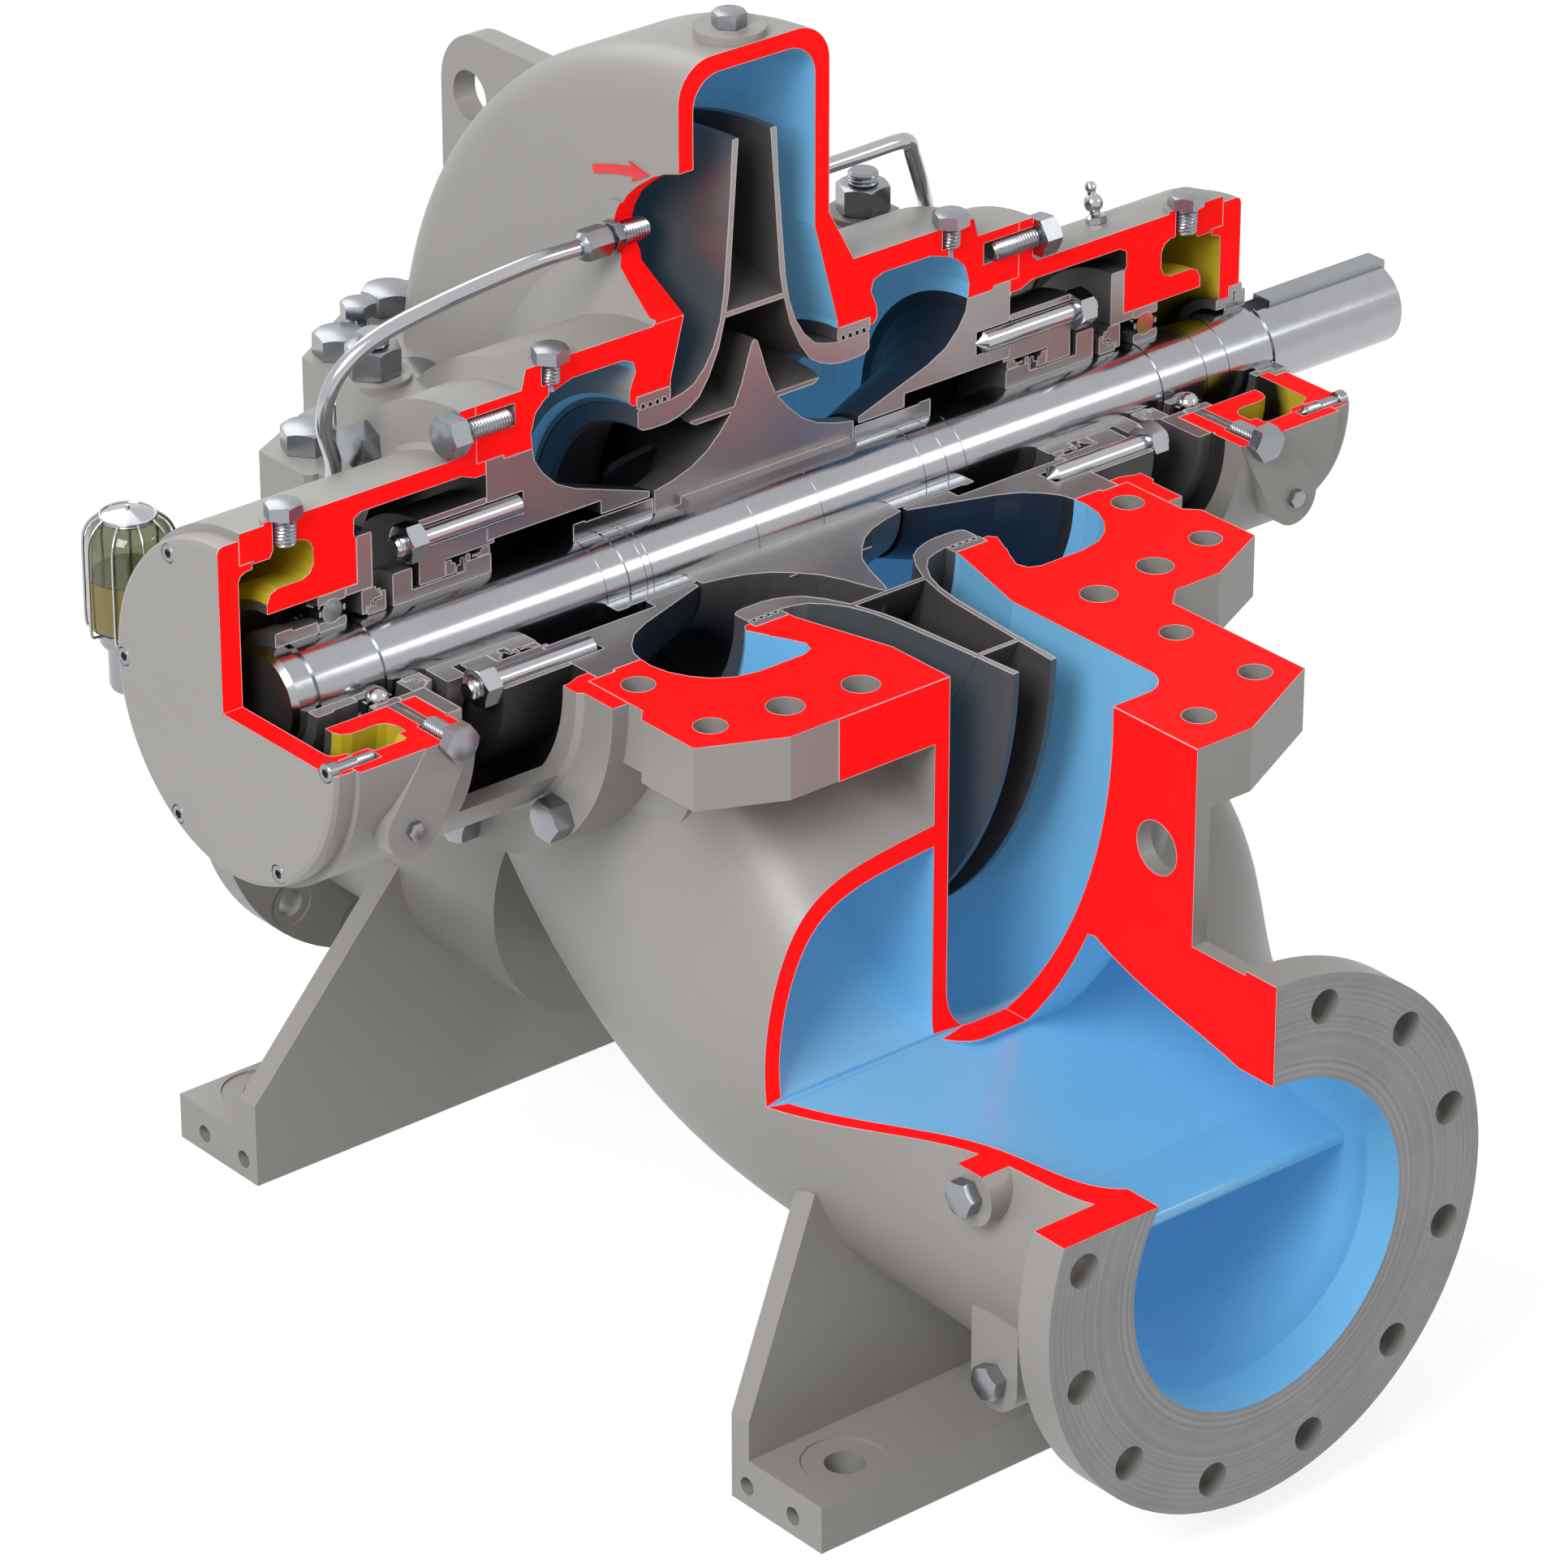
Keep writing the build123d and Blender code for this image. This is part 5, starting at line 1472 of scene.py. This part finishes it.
DRIVE_SIDE = SIDES[1:]
SECTION_RINGS = (
    SectionRing("isolator_stator", "case", Paint.CUT_STEEL, (
        ((335.2, 46.2), (335.2, 53.2), (339.4, 53.2), (339.4, 55.8), (351.8, 55.8), (351.8, 37.2), (348.2, 37.2),
         (348.2, 41.8), (341.2, 41.8), (341.2, 46.2)),), replaced="isolator"),
    SectionRing("isolator_rotor", "rotor", Paint.CUT_STEEL, (
        ((331.0, 35.5), (331.0, 50.5), (334.2, 50.5), (334.2, 45.0), (340.2, 45.0), (340.2, 40.6), (347.2, 40.6),
         (347.2, 35.5)),)),
    SectionRing("drive_isolator_stator", "case", Paint.CUT_STEEL, (
        ((449.0, 38.0), (449.0, 45.4), (462.1, 45.4), (462.1, 53.9), (475.0, 53.9), (475.0, 49.2), (466.4, 49.2),
         (466.4, 42.2), (456.0, 42.2), (456.0, 38.0)),), sides=DRIVE_SIDE),
    SectionRing("drive_isolator_rotor", "rotor", Paint.FIXING, (
        ((457.4, 35.1), (457.4, 41.0), (467.8, 41.0), (467.8, 48.0), (478.5, 48.0), (478.5, 35.1)),), sides=DRIVE_SIDE),
    SectionRing("isolator_rings", "case", Paint.SEAL_DARK, (
        box(341.6, 344.4, 42.2, 45.4), box(335.8, 338.2, 50.2, 52.6)), "dark_seal"),
    SectionRing("seal_retainer", "rotor", Paint.CUT_STEEL, (
        ((240.0, 50.1), (240.0, 56.2), (248.0, 56.2), (248.0, 53.4), (251.5, 53.4), (251.5, 50.1)),
        box(257.2, 261.6, 50.1, 55.4))),
    SectionRing("seal_springs", "rotor", Paint.FIXING, (box(252.2, 253.4, 51.0, 54.4), box(254.2, 255.4, 51.0, 54.4))),
    SectionRing("seal_face_carbon", "rotor", Paint.CARBON, (
        ((262.6, 43.2), (262.6, 54.2), (266.2, 54.2), (266.2, 49.6), (269.6, 49.6), (269.6, 43.2)),), "dark_seal"),
    SectionRing("seal_mating_ring", "case", Paint.CUT_STEEL, (
        ((270.2, 44.2), (270.2, 52.4), (273.4, 52.4), (273.4, 55.6), (278.9, 55.6), (278.9, 44.2)),)),
    SectionRing("bearing_cages", "rotor", Paint.FIXING, (
        box(366.0, 367.6, 46.2, 51.2), box(386.5, 388.1, 46.2, 51.2)), "steel"),
)


@dataclass(frozen=True)
class SectionRimHighlights:
    """Thin light lines along the edges of the sawn faces: a painted highlight where light catches the edges."""

    width: float = 0.0006
    thin: float = 0.00028
    lift: float = 0.0003
    sink: float = 0.0002
    shortest: float = 0.0004
    skipped: tuple[str, ...] = (
        "tube", "bolt", "stud", "screws", "plug", "oiler", "nipple", "foot", "key", "ball", "isolator",
    )

    def build(self, rings: list[tuple[Object, str]]) -> None:
        """Make one piece of painted highlight rims for each body.

        Args:
            rings: The small section rings, each with its body.
        """
        rims = {"case": SkinnedMesh(), "rotor": SkinnedMesh()}
        for name, node in sorted(frame["nodes"].items()):
            if not any(word in name for word in self.skipped):
                red = name.endswith(("_case", "_housing", "_cover")) and "inner" not in name
                casing = name.endswith("_case")
                self._trace(node, rims[body_of(node)[0]], casing, self.thin if red else self.width)
        for piece, body in rings:
            self._trace(piece, rims[body], False, self.width)
        for body, mesh in rims.items():
            mesh.make(f"section_rims_{body}", Paint.RIM_HIGHLIGHT, body, "casting" if body == "case" else "steel", 0.0)

    @staticmethod
    def _plane(spot: Vector, normal: Vector, casing: bool) -> tuple[int, int] | None:
        """Which saw plane a face lies in, as an axis and an offset, or None.

        Args:
            spot: Middle of the face, in millimetres from the shaft axis.
            normal: Its normal.
            casing: Whether the face is one of the casing's.

        Returns:
            Number of the axis that the plane is square to and its rounded offset.
        """
        if on_main_cuts(spot, normal) or casing and on_corner_cuts(spot, normal):
            axis = max(range(3), key=lambda index: abs(normal[index]))
            return axis, round(spot[axis] / 5.0)
        return None

    def _trace(self, node: Object, rims: SkinnedMesh, casing: bool, width: float) -> None:
        """Add the rims of one piece's sawn faces.

        Args:
            node: The piece.
            rims: Mesh that the rims go into.
            casing: Whether the piece is one of the casing's.
            width: Width of the rims in metres.
        """
        mesh = node.data
        spots = [tuple(round(value, 5) for value in vertex.co) for vertex in mesh.vertices]
        edges: dict[tuple, list[tuple[Vector, ...]]] = {}
        for polygon in mesh.polygons:
            plane = self._plane((polygon.center - SHAFT) * 1000.0, polygon.normal, casing)
            if plane is None:
                continue
            corners = list(polygon.vertices)
            for first, second in zip(corners, corners[1:] + corners[:1]):
                key = (plane, *sorted((spots[first], spots[second])))
                record = (mesh.vertices[first].co, mesh.vertices[second].co, polygon.center, polygon.normal)
                edges.setdefault(key, []).append(record)
        for sharing in edges.values():
            if len(sharing) == 1:
                self._ribbon(*sharing[0], rims, width)

    def _ribbon(self, a: Vector, b: Vector, middle: Vector, normal: Vector, rims: SkinnedMesh, width: float) -> None:
        """Add one short straight rim as a closed bar.

        Args:
            a: One end of the edge.
            b: Its other end.
            middle: Middle of the face at the edge.
            normal: Normal of that face.
            rims: Mesh that the rim goes into.
            width: Width of the rim in metres.
        """
        along = b - a
        if along.length < self.shortest:
            return
        inward = normal.cross(along).normalized()
        if inward.dot(middle - a) < 0.0:
            inward = -inward
        corners = (a, b, b + inward * width, a + inward * width)
        rims.skin([[corner + normal * rise for corner in corners] for rise in (-self.sink, self.lift)])


def build_small_assemblies() -> None:
    """Make every piece that is finer than the CAD model."""
    for assembly in (CasingFixings(), FlushLine(*SIDES[0], LEFT_ROUTE), FlushLine(*SIDES[1], RIGHT_ROUTE), LevelOiler(),
                     GreaseNipple(), TurnArrow(), VoluteEndWall()):
        assembly.build()
    SectionRimHighlights().build([made for kind in SECTION_RINGS for made in kind.build()])


# Studio


@dataclass(frozen=True)
class Studio:
    """Floor, light and camera.

    Args:
        surround: Strength of the white surround where it lights the pump.
        floor_glow: Light that the floor gives by itself, which keeps it white round a soft shadow.
        floor_half: Half the side of the floor in metres.
        floor_drop: How far the floor lies below the feet in metres.
        lamps: Name, place, power and size of each lamp.
        target: Point that the lamps look at.
    """

    surround: float = 0.31
    floor_glow: float = 0.78
    floor_half: float = 30.0
    floor_drop: float = 0.0006
    lamps: tuple[tuple[str, Triple, float, float], ...] = (
        ("key_lamp", (-3.2, -1.2, 3.2), 132.0, 2.2),
        ("side_lamp", (2.3, -2.6, 2.5), 15.0, 0.9),
        ("back_lamp", (0.5, 3.0, 3.0), 45.0, 2.5),
    )
    target: Triple = (0.0, 0.0, 0.45)

    def build(self) -> None:
        """Set up the whole studio."""
        self._world()
        self._floor()
        self._lamps()
        PhotoCamera().build()

    def _world(self) -> None:
        """White surround for the camera and for reflections, softer light elsewhere."""
        world = bpy.data.worlds.new("studio_surround")
        bpy.context.scene.world = world
        world.use_nodes = True
        tree = world.node_tree
        tree.nodes.clear()
        soft = add_node(tree, "Background", {"Color": WHITE, "Strength": self.surround})
        bright = add_node(tree, "Background", {"Color": WHITE, "Strength": 1.0})
        mix = add_node(tree, "MixShader", {0: self._background_rays(tree), 1: soft.outputs[0], 2: bright.outputs[0]})
        add_node(tree, "OutputWorld", {"Surface": mix.outputs[0]})

    @staticmethod
    def _background_rays(tree: NodeTree) -> NodeSocket:
        """Value that is 1 for the rays that see the background: camera, glossy and transmission rays.

        Args:
            tree: Node tree that gets the nodes.

        Returns:
            The value's socket.
        """
        paths = add_node(tree, "LightPath", {}).outputs
        total = paths["Is Camera Ray"]
        for kind in ("Is Glossy Ray", "Is Transmission Ray"):
            total = add_node(tree, "Math", {0: total, 1: paths[kind]}, operation="MAXIMUM").outputs[0]
        return total

    def _floor(self) -> None:
        """Pale floor that shows as white but keeps the pump's shadow on it."""
        mesh = bpy.data.meshes.new("studio_floor")
        half, low = self.floor_half, -self.floor_drop
        corners = [(-half, -half, low), (half, -half, low), (half, half, low), (-half, half, low)]
        mesh.from_pydata(corners, [], [(0, 1, 2, 3)])
        floor = bpy.data.objects.new("studio_floor", mesh)
        bpy.context.scene.collection.objects.link(floor)
        material = bpy.data.materials.new("pale_floor")
        material.use_nodes = True
        tree = material.node_tree
        shader = tree.nodes["Principled BSDF"]
        for label, value in (("Base Color", (0.46, 0.46, 0.46, 1.0)), ("Roughness", 0.9), ("Emission Color", WHITE)):
            shader.inputs[label].default_value = value
        glow = add_node(tree, "Math", {0: self._background_rays(tree), 1: self.floor_glow}, operation="MULTIPLY")
        tree.links.new(glow.outputs[0], shader.inputs["Emission Strength"])
        mesh.materials.append(material)

    def _lamps(self) -> None:
        """Large soft lamps: one from the upper left, one from the right and one from behind."""
        for name, place, power, size in self.lamps:
            data = bpy.data.lights.new(name, "AREA")
            data.energy = power
            data.size = size
            lamp = bpy.data.objects.new(name, data)
            lamp.location = place
            lamp.rotation_euler = (Vector(self.target) - Vector(place)).to_track_quat("-Z", "Y").to_euler()
            bpy.context.scene.collection.objects.link(lamp)


@dataclass(frozen=True)
class PhotoCamera:
    """Camera fitted to measured points of the photograph.

    Args:
        pixels: Side of the photograph.
        focal: Focal length in pixels.
        middle: Pixel that the view's axis goes through.
        sensor: Side of the sensor in millimetres.
        place: Where the camera stands, in metres.
        azimuth: Way it looks, in degrees from the rear towards the right.
        elevation: How far it looks down, in degrees.
        roll: Its tilt to the side, in degrees.
    """

    pixels: float = 1932.0
    focal: float = 9266.35
    middle: Pair = (919.23, 963.09)
    sensor: float = 36.0
    place: Triple = (-3.11848, -3.73776, 2.89327)
    azimuth: float = 39.76
    elevation: float = 27.39
    roll: float = -0.12

    def build(self) -> None:
        """Make the camera and look through it."""
        data = bpy.data.cameras.new("photo_camera")
        data.sensor_width = self.sensor
        data.lens = self.focal / self.pixels * self.sensor
        data.shift_x = (0.5 * self.pixels - self.middle[0]) / self.pixels
        data.shift_y = (self.middle[1] - 0.5 * self.pixels) / self.pixels
        data.clip_start = 0.1
        data.clip_end = 100.0
        camera = bpy.data.objects.new("photo_camera", data)
        camera.location = self.place
        level, drop = polar(1.0, math.radians(self.elevation))
        behind, right = polar(level, math.radians(self.azimuth))
        camera.rotation_mode = "QUATERNION"
        look = Vector((right, behind, -drop)).to_track_quat("-Z", "Y")
        camera.rotation_quaternion = look @ Euler((0.0, 0.0, math.radians(self.roll))).to_quaternion()
        bpy.context.scene.collection.objects.link(camera)
        bpy.context.scene.camera = camera


def main() -> None:
    """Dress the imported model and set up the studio."""
    logging.basicConfig(level=logging.INFO, format="%(name)s: %(message)s")
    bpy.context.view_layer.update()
    bpy.context.scene.view_settings.view_transform = "Standard"
    CarriedNodes().dress()
    build_small_assemblies()
    Studio().build()


if __name__ == "__main__":
    main()
